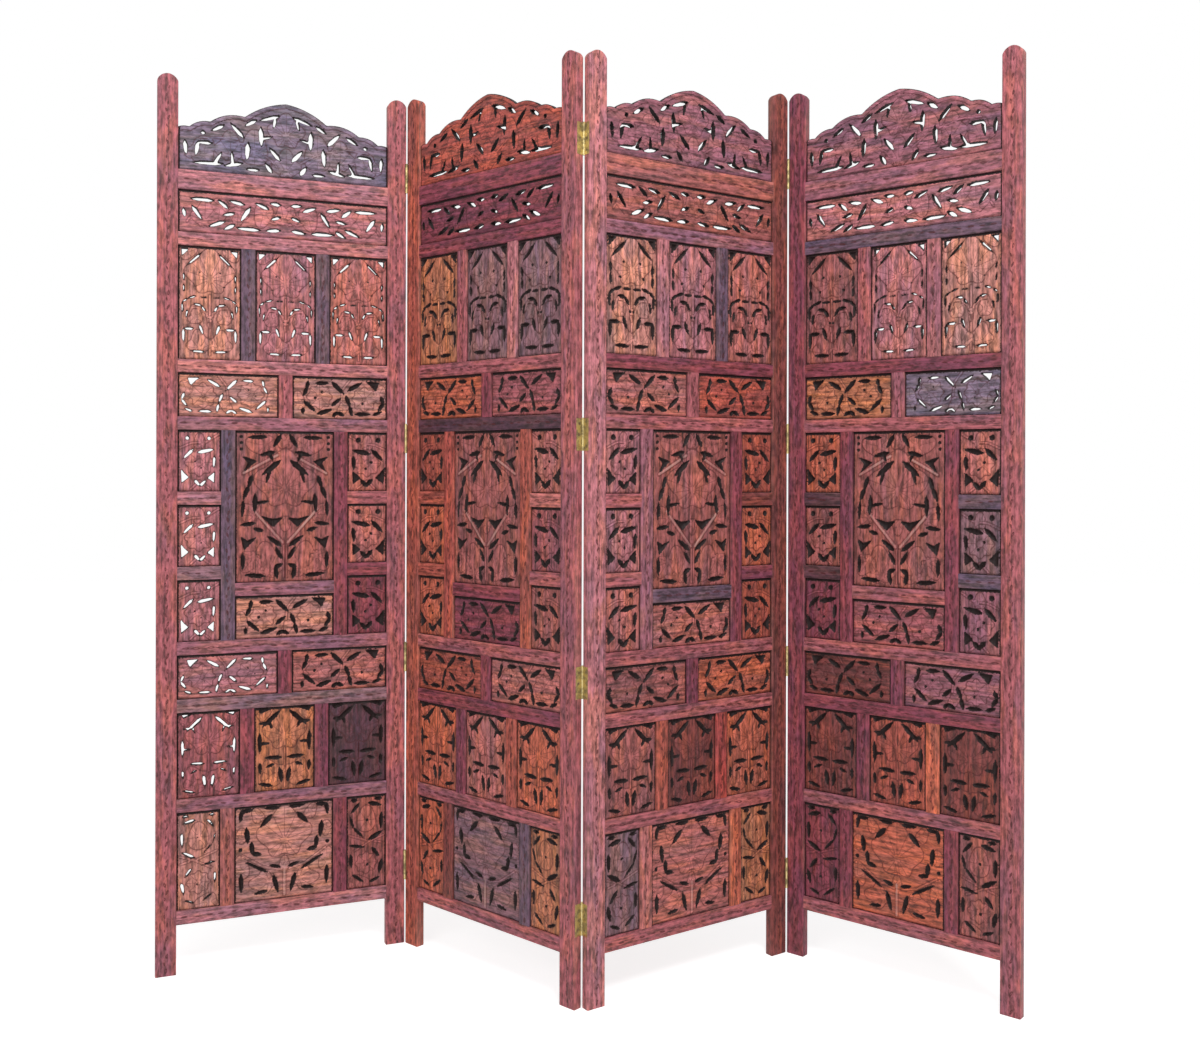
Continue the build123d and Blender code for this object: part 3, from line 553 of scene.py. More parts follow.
print("grooves are", GROOVE_DEPTH, "mm deep and the ground lies", GROUND_DEPTH, "mm down")

# %% [markdown]
# The garden grows from a few kinds of form. A kind says how many lobes an outline has and how deep
# they are, how wide it spreads, how far it leans back to its heart, and how many veins it has.

# %% Kinds of form
VINE_LEAF = {"lobes": 5, "depth": 0.12, "spread": 1.0, "lean": 0.50, "veins": 15, "rise": 0.0}
FAN_LEAF = {"lobes": 5, "depth": 0.13, "spread": 0.9, "lean": 0.80, "veins": 10, "rise": 0.0}
CURL = {"lobes": 3, "depth": 0.10, "spread": 0.75, "lean": 0.40, "veins": 6, "rise": 0.0}
ROSETTE = {"lobes": 8, "depth": 0.09, "spread": 1.0, "lean": 0.0, "veins": 8, "rise": 0.1}
BUD = {"lobes": 3, "depth": 0.06, "spread": 0.70, "lean": 0.10, "veins": 8, "rise": 0.1}
BUTTON = {"lobes": 0, "depth": 0.0, "spread": 1.0, "lean": 0.0, "veins": 0, "rise": 0.3}
STEM = {"width": 7.5, "rise": 1.3}
VINE = {"width": 5.0, "rise": 0.4}
print("a vine leaf has", VINE_LEAF["lobes"], "lobes and a rosette", ROSETTE["lobes"])

# %% [markdown]
# Each kind of board has its own list of forms. A form is its kind, then its points as fractions of
# the board: heart and tip for a lobed form, or the line of a stem.

# %% Forms of the upright boards
TALL_FORMS = (
    (VINE, (0.0, 0.14), (0.0, -0.92)),
    (VINE_LEAF, (0.0, 0.42), (0.0, 0.97)),
    (CURL, (0.46, -0.26), (0.50, -0.03)),
    (VINE, (0.02, -0.44), (0.10, -0.18), (0.30, -0.10), (0.56, -0.08), (0.66, -0.22)),
    (FAN_LEAF, (0.30, -0.82), (0.40, -0.47)),
    (CURL, (0.76, 0.86), (0.40, 0.95)),
    (BUTTON, (0.0, -0.28), (0.0, -0.22)),
)
SHORT_FORMS = (
    (VINE, (0.0, 0.0), (0.0, -0.92)),
    (VINE_LEAF, (0.0, 0.30), (0.0, 0.96)),
    (CURL, (0.74, 0.80), (0.46, 0.92)),
    (FAN_LEAF, (0.30, -0.70), (0.62, -0.26)),
    (CURL, (0.34, -0.74), (0.66, -0.90)),
)
print("forms in half a tall board:", len(TALL_FORMS), "and in half a short one:", len(SHORT_FORMS))

# %% [markdown]
# On the centre, wide and bottom boards the forms fill the wood between the cuts, so the veins of a
# leaf run out towards the holes round it.

# %% Forms of the centre, wide and bottom boards
CENTRE_FORMS = (
    (CURL, (0.40, 0.80), (0.80, 0.86)),
    (CURL, (0.04, 0.84), (0.12, 0.97)),
    (VINE_LEAF, (0.0, 0.24), (0.0, 0.76)),
    (FAN_LEAF, (0.60, -0.12), (0.90, 0.02)),
    (FAN_LEAF, (0.36, -0.86), (0.42, -0.46)),
    (FAN_LEAF, (0.62, -0.66), (0.86, -0.86)),
    (CURL, (0.0, -0.20), (0.0, -0.34)),
    (VINE, (0.03, -0.46), (0.03, -0.94)),
    (STEM, (0.16, 0.68), (0.84, 0.44)),
    (STEM, (0.66, -0.03), (0.05, -0.48)),
)
WIDE_FORMS = (
    (CURL, (-0.88, -0.30), (-0.90, 0.30)),
    (CURL, (0.80, 0.10), (0.92, 0.62)),
    (VINE, (-0.10, -0.92), (0.02, -0.20), (0.04, 0.40), (0.20, 0.86)),
    (CURL, (0.08, -0.40), (0.02, -0.80)),
    (ROSETTE, (-0.44, 0.04), (-0.44, 0.64)),
    (ROSETTE, (0.51, -0.04), (0.51, 0.56)),
    (BUTTON, (-0.44, 0.04), (-0.44, 0.14)),
    (BUTTON, (0.51, -0.04), (0.51, 0.06)),
)
BOTTOM_FORMS = (
    (VINE_LEAF, (0.0, 0.22), (0.0, 0.95)),
    (CURL, (0.52, 0.74), (0.62, 0.94)),
    (CURL, (0.88, 0.34), (0.84, 0.56)),
    (FAN_LEAF, (0.30, -0.62), (0.72, -0.62)),
    (CURL, (0.88, -0.34), (0.86, 0.00)),
    (CURL, (0.0, -0.30), (0.0, -0.10)),
    (STEM, (0.0, -0.30), (0.0, -0.92)),
    (VINE, (0.04, -0.40), (0.42, -0.30), (0.84, -0.02)),
)
print("forms in half a centre board:", len(CENTRE_FORMS))

# %% [markdown]
# On the frieze and the crest one vine runs through, and its leaves turn up and down by turns. The
# small boards hold a single rosette or a bud.

# %% Forms of the frieze, the crest and the small boards
FRIEZE_FORMS = (
    (VINE, (0.0, 0.22), (0.10, -0.34), (0.24, -0.10), (0.34, 0.40), (0.46, -0.22),
     (0.60, -0.24), (0.70, 0.34), (0.84, 0.10), (0.92, -0.50)),
    (FAN_LEAF, (0.02, -0.20), (0.05, 0.60)),
    (CURL, (0.21, 0.20), (0.25, -0.58)),
    (FAN_LEAF, (0.45, 0.20), (0.46, -0.60)),
    (CURL, (0.62, 0.30), (0.63, -0.46)),
    (FAN_LEAF, (0.76, -0.46), (0.75, 0.58)),
)
SMALL_FORMS = (
    (CURL, (0.0, 0.56), (0.0, 0.90)),
    (VINE, (-0.90, 0.40), (-0.40, 0.56), (0.30, 0.60), (0.90, 0.86)),
    (VINE, (-0.40, -0.92), (0.0, -0.66), (0.50, -0.92)),
    (ROSETTE, (0.0, -0.06), (0.0, 0.40)),
    (BUTTON, (0.0, -0.06), (0.0, 0.06)),
)
SIDE_FORMS = (
    (VINE, (-0.86, 0.16), (0.0, 0.02), (0.84, -0.06)),
    (VINE, (-0.60, -0.18), (0.20, 0.00), (0.86, 0.10)),
    (ROSETTE, (0.0, -0.46), (0.0, -0.22)),
    (BUD, (0.0, 0.46), (0.0, 0.78)),
    (BUTTON, (0.0, -0.46), (0.0, -0.40)),
    (CURL, (-0.50, -0.86), (0.20, -0.92)),
)
CREST_FORMS = (
    (VINE_LEAF, (0.0, 0.56), (0.0, 0.88)),
    (FAN_LEAF, (0.52, 0.24), (0.53, 0.58)),
    (CURL, (0.30, 0.30), (0.30, 0.62)),
    (FAN_LEAF, (0.74, 0.28), (0.94, 0.20)),
    (CURL, (0.78, 0.22), (0.72, 0.46)),
    (FAN_LEAF, (0.0, 0.08), (0.0, 0.40)),
    (VINE, (0.04, 0.06), (0.14, 0.22), (0.28, 0.34), (0.46, 0.42)),
    (VINE, (0.40, 0.40), (0.60, 0.46), (0.80, 0.44)),
)
print("forms in half a frieze:", len(FRIEZE_FORMS), "and in half a crest:", len(CREST_FORMS))

# %% [markdown]
# ## Pierced boards
# A board is laid out on a square grid. Where the grid meets a cut, its squares are trimmed along
# the cut's outline, and the front and back are joined by a wall through the thickness. This is
# the marching squares method. It gives one closed skin with even faces, however many holes there
# are, while a remesh would round off the thin bridges between them.

# %% Trimming a grid along an outline
GRID_STEP = 2.6
# an outline keeps this share of a square's side away from its corners, so that no face is a sliver
LEAST_SHARE = 0.06


def trimmed_loop(case):
    """Corners 0-3 and edge points 4-7 round the wooden part of a grid square.

    Bit k of the case says whether corner k is wood. Edge point 4 + k lies between corner k and
    the next one round.
    """
    loop = []
    for corner in range(4):
        here, following = case >> corner & 1, case >> (corner + 1) % 4 & 1
        if here:
            loop.append(corner)
        if here != following:
            loop.append(4 + corner)
    return loop


def trimmed_grid(xs, zs, margin):
    """Points, faces and wall edges of a grid where the margin is above 0.

    On a grid line from a point with margin m to one with margin n the outline is met at the share
    m / (m - n) of the way, because the margin changes evenly between them.
    """
    rows, columns = margin.shape
    grid_x, grid_z = np.meshgrid(xs, zs)
    with np.errstate(divide="ignore", invalid="ignore"):
        flat_share = np.nan_to_num(margin[:, :-1] / (margin[:, :-1] - margin[:, 1:]))
        rise_share = np.nan_to_num(margin[:-1] / (margin[:-1] - margin[1:]))
    flat_share = np.clip(flat_share, LEAST_SHARE, 1 - LEAST_SHARE)
    rise_share = np.clip(rise_share, LEAST_SHARE, 1 - LEAST_SHARE)
    flat_x = grid_x[:, :-1] + flat_share * np.diff(xs)
    rise_z = grid_z[:-1] + rise_share * np.diff(zs)[:, None]
    points = np.concatenate([
        np.column_stack([grid_x.ravel(), grid_z.ravel()]),
        np.column_stack([flat_x.ravel(), grid_z[:, :-1].ravel()]),
        np.column_stack([grid_x[:-1].ravel(), rise_z.ravel()])])
    corner = np.arange(rows * columns).reshape(rows, columns)
    flat = rows * columns + np.arange(rows * (columns - 1)).reshape(rows, columns - 1)
    rise = rows * (2 * columns - 1) + np.arange((rows - 1) * columns).reshape(rows - 1, columns)
    around = np.stack([corner[:-1, :-1], corner[:-1, 1:], corner[1:, 1:], corner[1:, :-1],
                       flat[:-1], rise[:, 1:], flat[1:], rise[:, :-1]]).reshape(8, -1)
    wood = (margin > 0).ravel()[around[:4]]
    cases = (wood * np.array([[1], [2], [4], [8]])).sum(axis=0)
    quads, triangles, walls = [], [], []
    for case in range(1, 16):
        square, loop = around[:, cases == case], trimmed_loop(case)
        if len(loop) == 4:
            quads.append(square[loop].T)
        else:
            triangles += [square[[loop[0], a, b]].T for a, b in zip(loop[1:-1], loop[2:])]
        walls += [square[[a, b]].T for a, b in zip(loop, loop[1:] + loop[:1]) if min(a, b) > 3]
    return points, np.concatenate(quads), np.concatenate(triangles), np.concatenate(walls)


print("grid squares are", GRID_STEP, "mm wide")

# %% [markdown]
# A board is a sheet with holes. Most holes are chiselled from both faces and hardly meet in the
# middle, so they look dark; the well opened ones let light through. A plan holds what is drawn for
# one board: its half sizes, its lowest and highest line, its cuts and forms, and, for an arched
# one, its outline.

# %% The pierced sheet of a board
# a board reaches this far into the grooves of its frame
BOARD_TUCK = 1.5
# a spare strip of the grid outside the board, for the outline to be trimmed in
SPARE = 1.0


def grid_line(low, high):
    """Even steps of about one grid square from below low to above high."""
    return np.linspace(low - BOARD_TUCK - SPARE, high + BOARD_TUCK + SPARE, int((high - low) / GRID_STEP) + 2)


def pierced_sheet(plan, inset, broad_inset):
    """Points, faces and walls of one side of a board.

    The margin is the least of the distances inside the sides, the top and the holes' edges, and
    wood is where it is above 0. Points that no face uses are dropped.
    """
    half, low, high = plan["half"], plan["low"], plan["high"]
    xs, zs = grid_line(-half[0], half[0]), grid_line(low, high)
    x, z = np.meshgrid(xs, zs)
    sides = np.minimum(half[0] - abs(x), z - low) + BOARD_TUCK
    top = -plan["outline"](x, z) if plan["outline"] else high - z + BOARD_TUCK
    holes = cut_distance(x, z, plan["cuts"], half, broad_inset) + inset
    points, quads, triangles, walls = trimmed_grid(xs, zs, np.minimum(np.minimum(sides, top), holes))
    used, order = np.unique(np.concatenate([quads.ravel(), triangles.ravel()]), return_inverse=True)
    quads, triangles = order[:quads.size].reshape(-1, 4), order[quads.size:].reshape(-1, 3)
    return points[used], quads, triangles, np.searchsorted(used, walls)


print("a board of 100 mm has", len(grid_line(0.0, 100.0)), "grid lines across it")

# %% [markdown]
# A board is flat where nothing is carved. Along the frame it steps down to a plain border and then to the
# tongue in its groove. Round every hole its edge is pared back, and shade is painted dark into the holes and
# along the frame, where a dark joint line widens into a painted shadow under each rail. An arched board has a
# raised band along its edge, with painted shade along the edge and inside the band.

# %% The relief of a board
BORDER, BORDER_SLOPE, BORDER_DEPTH = 3.5, 2.5, 1.5
TONGUE_SLOPE, TONGUE_DEPTH = 1.4, 2.2
PARED_OUT, PARED_IN = 1.2, 2.5
# the band along an arched edge, how steeply its groove climbs, and how far the painted shade lies from the
# edge and from the band
BAND, BAND_SLOPE = 9.0, 3.0
EDGE_SHADE, BAND_SHADE = 0.8, -0.2
# dark joint lines along the frame, widened by painted shade into a shadow: wide under a rail, narrow at the
# sides and least above a rail
SHADOW_GAP_ABOVE, SHADOW_GAP_BESIDE, SHADOW_GAP_BELOW = 5.0, 2.6, 0.6


def board_relief(x, z, plan, pared_depth, shade_reach):
    """How far each point rises over the plain board, and its chisel mark, which says where shade is painted.

    Height = carving, eased to the border's level near the frame and to the tongue's at its edge,
    less the paring round a hole.
    """
    cut = cut_distance(x, z, plan["cuts"], plan["half"])
    carving, rim, vein = carve(x, z, plan["forms"], plan["half"])
    above, beside, below = plan["high"] - z, plan["half"][0] - abs(x), z - plan["low"]
    # painted shade round every hole, as far as its reach
    shade_edge = cut - shade_reach
    if plan["outline"]:
        depth_in = -plan["outline"](x, z)
        band = BAND / 2 - abs(depth_in - BAND / 2)
        in_band = (depth_in < BAND + GROOVE_REACH) & (beside > 0)
        carving = np.where(in_band, -GROOVE_DEPTH * (1 - ease((band + GROOVE_REACH) / BAND_SLOPE)), carving)
        rim, vein = np.where(in_band, band, rim), np.where(in_band, NO_VEIN, vein)
        above = np.full(len(x), 3 * BORDER)
        # painted shade along the arched edge and a painted shadow in the groove inside the raised band
        shade_edge = np.minimum(shade_edge, np.minimum(depth_in - EDGE_SHADE, abs(depth_in - BAND) - BAND_SHADE))
    # a dark joint line along the frame, widened into a painted shadow under each rail
    shadow_gaps = np.minimum(above - SHADOW_GAP_ABOVE, np.minimum(beside - SHADOW_GAP_BESIDE, below - SHADOW_GAP_BELOW))
    edge = np.minimum(above, np.minimum(beside, below))
    carving = -BORDER_DEPTH + (carving + BORDER_DEPTH) * ease((edge - BORDER) / BORDER_SLOPE)
    pared = pared_depth * (1 - ease((cut + PARED_IN) / (PARED_IN + PARED_OUT)))
    rise = carving - TONGUE_DEPTH * (1 - ease(edge / TONGUE_SLOPE)) - pared
    return rise, np.column_stack([np.minimum(shadow_gaps, shade_edge), rim, vein])


print("the border lies", BORDER_DEPTH, "mm down and the tongue", TONGUE_DEPTH, "mm more")

# %% [markdown]
# The two sheets of a board are the same points, one before the middle and one behind it, so the
# points are worked out once and the back is the front turned over. Walls join them round the holes.

# %% One pierced and carved board
FIELD_THICKNESS = 13.0
# how far inside its outline a hole begins, how much farther a broad one does, how deep its edge is pared and
# how far the painted shade spreads from it
NARROW, OPENED, FRETTED = (4.6, 3.0, 4.8, 0.6), (0.9, 0.0, 2.4, -0.7), (-0.5, 0.0, 2.4, 0.9)
# the heights at the ends of the lift mark, by which the material paints high parts paler as wear and
# highlight and low parts darker as shade
LIFT_LOW, LIFT_HIGH = -4.0, 1.4


def carved_board(width, height, cuts, forms, opening, outline=None):
    """A board about the middle of its opening, or with an outline an arched one with its foot at 0."""
    half = np.array([width / 2, height if outline else height / 2])
    low, high = (0.0, height) if outline else (-half[1], half[1])
    plan = {"half": half, "low": low, "high": high, "cuts": cuts, "forms": forms, "outline": outline}
    inset, broad_inset, pared_depth, shade_reach = opening
    points, quads, triangles, walls = pierced_sheet(plan, inset, broad_inset)
    x, z = points.T
    rise, chisel = board_relief(x, z, plan, pared_depth, shade_reach)
    depth, count = FIELD_THICKNESS / 2 + rise, len(x)
    front, back = np.column_stack([x, -depth, z]), np.column_stack([x, depth, z])
    faces = [quads, triangles, quads[:, ::-1] + count, triangles[:, ::-1] + count,
             np.column_stack([walls[:, 0], walls[:, 0] + count, walls[:, 1] + count, walls[:, 1]])]
    lift = (rise - LIFT_LOW) / (LIFT_HIGH - LIFT_LOW)
    along, across = (z, x) if height > width else (x, z)
    grain = np.column_stack([along, across, np.zeros(count)]) / 1000
    return Shape(np.concatenate([front, back]), faces, np.tile(lift, 2), np.tile(grain, (2, 1)),
                 np.tile(chisel, (2, 1)))


print("holes begin", NARROW[0], "mm inside a narrow outline and", OPENED[0], "mm inside an opened one")

# %% [markdown]
# The crest is the one board with an arched top. Its scallops meet in cusps, as if a cutter had been
# rolled along the edge, so the outline is a row of arcs between a few marked points.

# %% The crest's outline
CREST_END = 87.0
# cusps as shares of the half width and of the peak, and how far each scallop bulges
CREST_CUSPS = ((0.0, 1.0), (0.39, 0.77), (0.71, 0.66), (0.90, 0.57))
CREST_BULGES = (6.5, 8.0, 5.0, 1.5)
CREST_FOOT = -60.0
CREST_SIDE = 9.0
ARC_STEPS = 8


def crest_outline():
    """Corners round the arched crest, its foot far below: scallops are arcs of circles.

    Each scallop bulges from the straight line between its two cusps by its own height, as a
    parabola, which is within a tenth of a millimetre of an arc this flat.
    """
    half = CLEAR_WIDTH / 2
    cusps = np.array(CREST_CUSPS + ((1.0, CREST_END / CREST_PEAK),)) * (half, CREST_PEAK)
    share = np.linspace(0, 1, ARC_STEPS + 1)[:-1, None]
    right = []
    for start, end, bulge in zip(cusps, cusps[1:], CREST_BULGES):
        run = end - start
        outward = np.array([-run[1], run[0]]) / np.hypot(*run)
        right.append(start + share * run + 4 * share * (1 - share) * bulge * outward)
    out = half + CREST_SIDE
    right = np.concatenate(right + [[[half, CREST_END], [out, CREST_END], [out, CREST_FOOT]]])
    return np.concatenate([right, right[:0:-1] * (-1, 1)])


def arch_distance(x, z):
    """Distance to the crest's arched outline, below 0 inside it."""
    return outline_distance(x, z, crest_outline())


print("corners in the crest's outline:", len(crest_outline()))

# %% [markdown]
# A screen has many boards but only ten kinds, so each kind is carved once, here, and put in its
# places later. Kinds with opened holes somewhere are carved twice, because a narrow hole has more
# bevel than an opened one.

# %% Carve the boards of every kind
CENTRE_HEIGHT = ROW_HEIGHT["block"] - ROW_HEIGHT["low_wide"] - RAIL
SMALL_HEIGHT = (ROW_HEIGHT["block"] - 2 * RAIL) / 3


def both_halves(cuts, forms):
    """The cuts and the forms of a board whose left half mirrors its right half."""
    return cuts + mirrored(cuts), forms + mirrored(forms)


# the clear size, the cuts and the forms of each kind
BOARD_KINDS = {
    "tall": (THIRD_COLUMN, ROW_HEIGHT["tall"], *both_halves(TALL_CUTS, TALL_FORMS)),
    "short": (THIRD_COLUMN, ROW_HEIGHT["short"], *both_halves(SHORT_CUTS, SHORT_FORMS)),
    "wide": (HALF_COLUMN, ROW_HEIGHT["low_wide"], WIDE_CUTS, WIDE_FORMS),
    "under": (CENTRE_COLUMN, ROW_HEIGHT["low_wide"], WIDE_CUTS, WIDE_FORMS),
    "centre": (CENTRE_COLUMN, CENTRE_HEIGHT, *both_halves(CENTRE_CUTS, CENTRE_FORMS)),
    "small": (SIDE_COLUMN, SMALL_HEIGHT, SMALL_CUTS, SMALL_FORMS),
    "side": (SIDE_COLUMN, ROW_HEIGHT["bottom"], SIDE_CUTS, SIDE_FORMS),
    "bottom": (CENTRE_COLUMN, ROW_HEIGHT["bottom"], *both_halves(BOTTOM_CUTS, BOTTOM_FORMS)),
    "frieze": (CLEAR_WIDTH, ROW_HEIGHT["frieze"], *both_halves(FRIEZE_CUTS, FRIEZE_FORMS)),
    "crest": (CLEAR_WIDTH, CREST_PEAK, *both_halves(CREST_CUTS, CREST_FORMS)),
}
boards = {(kind, False): carved_board(*sizes, NARROW) for kind, sizes in BOARD_KINDS.items()
          if kind not in ("frieze", "crest")}
for kind in ("tall", "short", "wide", "small", "side"):
    boards[kind, True] = carved_board(*BOARD_KINDS[kind], OPENED)
boards["frieze", True] = carved_board(*BOARD_KINDS["frieze"], FRETTED)
boards["crest", True] = carved_board(*BOARD_KINDS["crest"], FRETTED, arch_distance)
for (kind, opened), board in boards.items():
    print(kind, "well opened" if opened else "narrow", "faces", sum(len(face) for face in board.faces))

# %% [markdown]
# ## Frame bars
# A chain of little chip-carved nicks runs down both broad faces of every bar: short pairs on an
# upright, longer dashes on a rail. No two were struck alike, so a copied cube with a bevel would
# look dead. Instead each nick gets its own place, lean and force first, from a seed that gives the
# same nicks every time.

# %% Where the nicks lie
STILE_TOP = 1829.0
# pitch, length, width, lean and sideways shift of the nicks on an upright bar and on a rail
UPRIGHT_NICKS = (16.0, 10.0, 3.8, 0.28, 2.0)
RAIL_NICKS = (25.0, 15.0, 3.8, 0.06, 1.0)
# how unevenly they were struck: shares of the pitch, the lean, the shift and the full depth
STRAY, LEANING, SHIFTING, FORCE = (-0.14, 0.14), (0.2, 1.6), (0.2, 1.5), (0.25, 1.0)


def strike_nicks(start, end, upright, seed):
    """The places, shifts, leans and forces of the nicks on a bar.

    Neighbours lean and shift opposite ways, and the seed decides how strongly each one was struck.
    """
    pitch, _, _, lean, shift = UPRIGHT_NICKS if upright else RAIL_NICKS
    chance = np.random.default_rng(seed)
    count = max(int((end - start) / pitch), 1)
    stray = chance.uniform(*STRAY, count)
    centres = (start + end) / 2 + pitch * (np.arange(count) - (count - 1) / 2 + stray)
    turns = np.where(np.arange(count) % 2 == 0, 1.0, -1.0)
    leans = turns * lean * chance.uniform(*LEANING, count)
    shifts = turns * shift * chance.uniform(*SHIFTING, count)
    return centres, shifts, leans, chance.uniform(*FORCE, count)


print("nicks down a stile:", len(strike_nicks(0.0, STILE_TOP, True, 1)[0]))

# %% [markdown]
# A bar is a grid of sections along its grain, with softly rounded corners. The sections lie where
# the nicks need them, and the rows across them are denser in the middle, where the nicks are.

# %% The sections and rows of a bar
STILE_THICKNESS = 19.0
CORNER_ROUND = 1.4
HOLLOW_RADIUS = 3.5
# how sharply a hollow begins, and how far from a bar's ends a nick's sections stay
LIP = 0.02
END_CLEAR = 1.0
DOME_SECTIONS = 12
# shares of a nick's half length where a section lies
NICK_STATIONS = np.array([-1.0, -0.5, 0.0, 0.5, 1.0])
FACE_ROWS = np.array([-5.2, -2.6, 0.0, 2.6, 5.2])


def bar_sections(start, end, centres, length, dome, hollows):
    """Places of the sections: at the ends, on every nick, at a hollow's lips and up a dome.

    The sections of a dome lie at the sine of even steps of angle, so they crowd near its top.
    """
    along = np.add.outer(centres, NICK_STATIONS * length / 2).ravel()
    along = along[(along > start + END_CLEAR) & (along < end - dome - END_CLEAR)]
    lips = [place for _, _, bottom, top in hollows for place in (bottom - LIP, bottom, top, top + LIP)]
    tail = end - dome + dome * np.sin(np.linspace(0, np.pi / 2, DOME_SECTIONS)) if dome else [end]
    return np.concatenate([np.sort(np.concatenate([[start], along, lips])), tail])


def bar_outline(half, deep, hollowed):
    """Points round a section: a rectangle whose corners are quarter circles of three points each."""
    soft = CORNER_ROUND * (1 - np.sqrt(0.5))
    beside = [half - HOLLOW_RADIUS] if hollowed else []
    rows = np.concatenate([[-half + CORNER_ROUND], np.negative(beside), FACE_ROWS,
                           beside, [half - CORNER_ROUND]])
    across = np.concatenate([[-half, -half + soft], rows, [half - soft, half]])
    out = np.concatenate([[deep - CORNER_ROUND, deep - soft], np.full(len(rows), deep),
                          [deep - soft, deep - CORNER_ROUND]])
    return np.concatenate([across, across[::-1]]), np.concatenate([-out, out[::-1]])


print("points round a section:", len(bar_outline(STILE_WIDTH / 2, STILE_THICKNESS / 2, False)[0]))

# %% [markdown]
# The stiles are the only bars that end freely: their tops are rounded to an arc. Where a hinge
# sits, a hollow along the corner gives its knuckles room to turn. Both are made by moving points
# of the grid, which keeps the skin closed and spares a Boolean cut.

# %% Domes and hollows
# the narrowest section of a dome, as a share of the bar's width
DOME_TIP = 0.02


def dome_widths(along, start, rise, half):
    """Share of the full width at each place: half the chord of a circle, over half the width."""
    radius = (half ** 2 + rise ** 2) / (2 * rise)
    above = np.clip(along - start, 0, rise)
    chord = np.sqrt(np.maximum(radius ** 2 - (above + radius - rise) ** 2, 0)) / half
    return np.where(along > start, np.maximum(chord, DOME_TIP), 1)


def pushed_out(along, wide, thick, hollows):
    """Points across and out, moved away from each hollow's axis to at least its radius."""
    for axis_across, axis_out, bottom, top in hollows:
        reach = np.hypot(wide - axis_across, thick - axis_out)
        inside = (along >= bottom) & (along <= top) & (reach < HOLLOW_RADIUS)
        push = np.where(inside, HOLLOW_RADIUS / reach, 1.0)
        wide, thick = axis_across + (wide - axis_across) * push, axis_out + (thick - axis_out) * push
    return wide, thick


print("a hollow pushes points out to", HOLLOW_RADIUS, "mm from its axis")

# %% [markdown]
# Now the bar itself. The nicks are sunk into the grid of its faces, and the same distances that shape a nick
# tell the material where to paint its dark outline as shade.

# %% One bar
RAIL_THICKNESS = 17.0
NICK_DEPTH = 1.2
# a faint nick's dark outline, painted as shade, is this much thinner than a strong one's
FAINT_LINE = 1.2
# how high the faces and the corners stand, for the wear and for a painted highlight on the corners, and how
# low a nick lies, for the painted shade in it
FACE_LIFT, CORNER_LIFT, NICK_LIFT = 0.74, 0.86, 0.3


def bar(start, end, low, high, thickness, upright, seed, dome=0.0, hollows=()):
    """A bar from start to end along its grain and from low to high across it.

    A nick is sunk into both faces by its depth times (1 - a²)(1 - c²), where a and c are the shares
    of its half length and half width. A hollow is an axis beside a corner, across and out from the
    bar's middle, and a stretch along it.
    """
    middle, half, deep = (low + high) / 2, (high - low) / 2, thickness / 2
    length, width = (UPRIGHT_NICKS if upright else RAIL_NICKS)[1:3]
    centres, shifts, leans, force = strike_nicks(start, end, upright, seed)
    sections = bar_sections(start, end, centres, length, dome, hollows)
    around, outward = bar_outline(half, deep, len(hollows) > 0)
    along, across = np.meshgrid(sections, around, indexing="ij")
    out = np.broadcast_to(outward, along.shape).copy()
    nearest = np.abs(along[..., None] - centres).argmin(axis=-1)
    a = along - centres[nearest]
    c = across - shifts[nearest] - leans[nearest] * a
    on_face = np.isclose(np.abs(out), deep)
    sunk = np.clip(1 - (2 * a / length) ** 2, 0, 1) * np.clip(1 - (2 * c / width) ** 2, 0, 1)
    sunk = sunk * on_face * force[nearest]
    out -= np.sign(out) * NICK_DEPTH * sunk
    if dome:
        across = across * dome_widths(along, end - dome, dome, half)
    index = np.arange(along.size).reshape(along.shape)
    after = np.roll(index, -1, axis=1)
    quads = np.stack([index[:-1], index[1:], after[1:], after[:-1]], axis=-1).reshape(-1, 4)
    faces = [quads, index[:1], index[-1:, ::-1]]
    wide, thick = pushed_out(along, across, out, hollows)
    place = wide.ravel() + middle
    if upright:
        points = np.column_stack([place, thick.ravel(), along.ravel()])
    else:
        points = np.column_stack([along.ravel(), thick.ravel(), place])
        faces = [face[:, ::-1] for face in faces]
    # the lift paints the nicks darker as shade and the rounded corners paler as wear and highlight
    lift = FACE_LIFT - NICK_LIFT * sunk.ravel()
    lift[np.abs(across.ravel()) > half - CORNER_ROUND] = CORNER_LIFT
    grain = np.column_stack([along.ravel(), across.ravel() + out.ravel(), 0 * lift]) / 1000
    # how far from a nick's outline, where shade is painted as a dark line
    nick = (np.hypot(2 * a / length, 2 * c / width) - 1) * width / 2 + FAINT_LINE * (1 - force[nearest])
    nick = np.where(on_face, nick, NO_VEIN).ravel()
    clear = np.full(len(nick), NO_VEIN)
    return Shape(points, faces, lift, grain, np.column_stack([clear, clear, nick]))


print("points in a plain rail:", len(bar(0.0, CLEAR_WIDTH, 0.0, RAIL, RAIL_THICKNESS, False, 1).points))

# %% [markdown]
# ## Stains
# The bars and boards were stained before they were put together, and no two took the stain alike,
# so neighbours differ in hue. Random colours could give the same variety, but then a lucky or an
# ugly mix would be chance. A small palette with a polisher's own names is easier to judge.

# %% The palette
STAINS = {
    "rose": (155, 88, 92), "pale_rose": (172, 108, 112), "mauve": (146, 92, 102), "plum": (126, 63, 74),
    "slate": (98, 76, 90), "grey_plum": (120, 104, 120), "charcoal": (84, 54, 62), "red": (164, 72, 66),
    "red_orange": (166, 82, 72), "rust": (158, 82, 70), "orange": (182, 97, 76), "amber": (180, 112, 84),
    "peach": (188, 126, 114), "salmon": (176, 104, 98), "brown": (120, 64, 60), "brown_rose": (154, 90, 86),
    "ash": (132, 96, 102),
}
SCREEN_POWER = 2.2


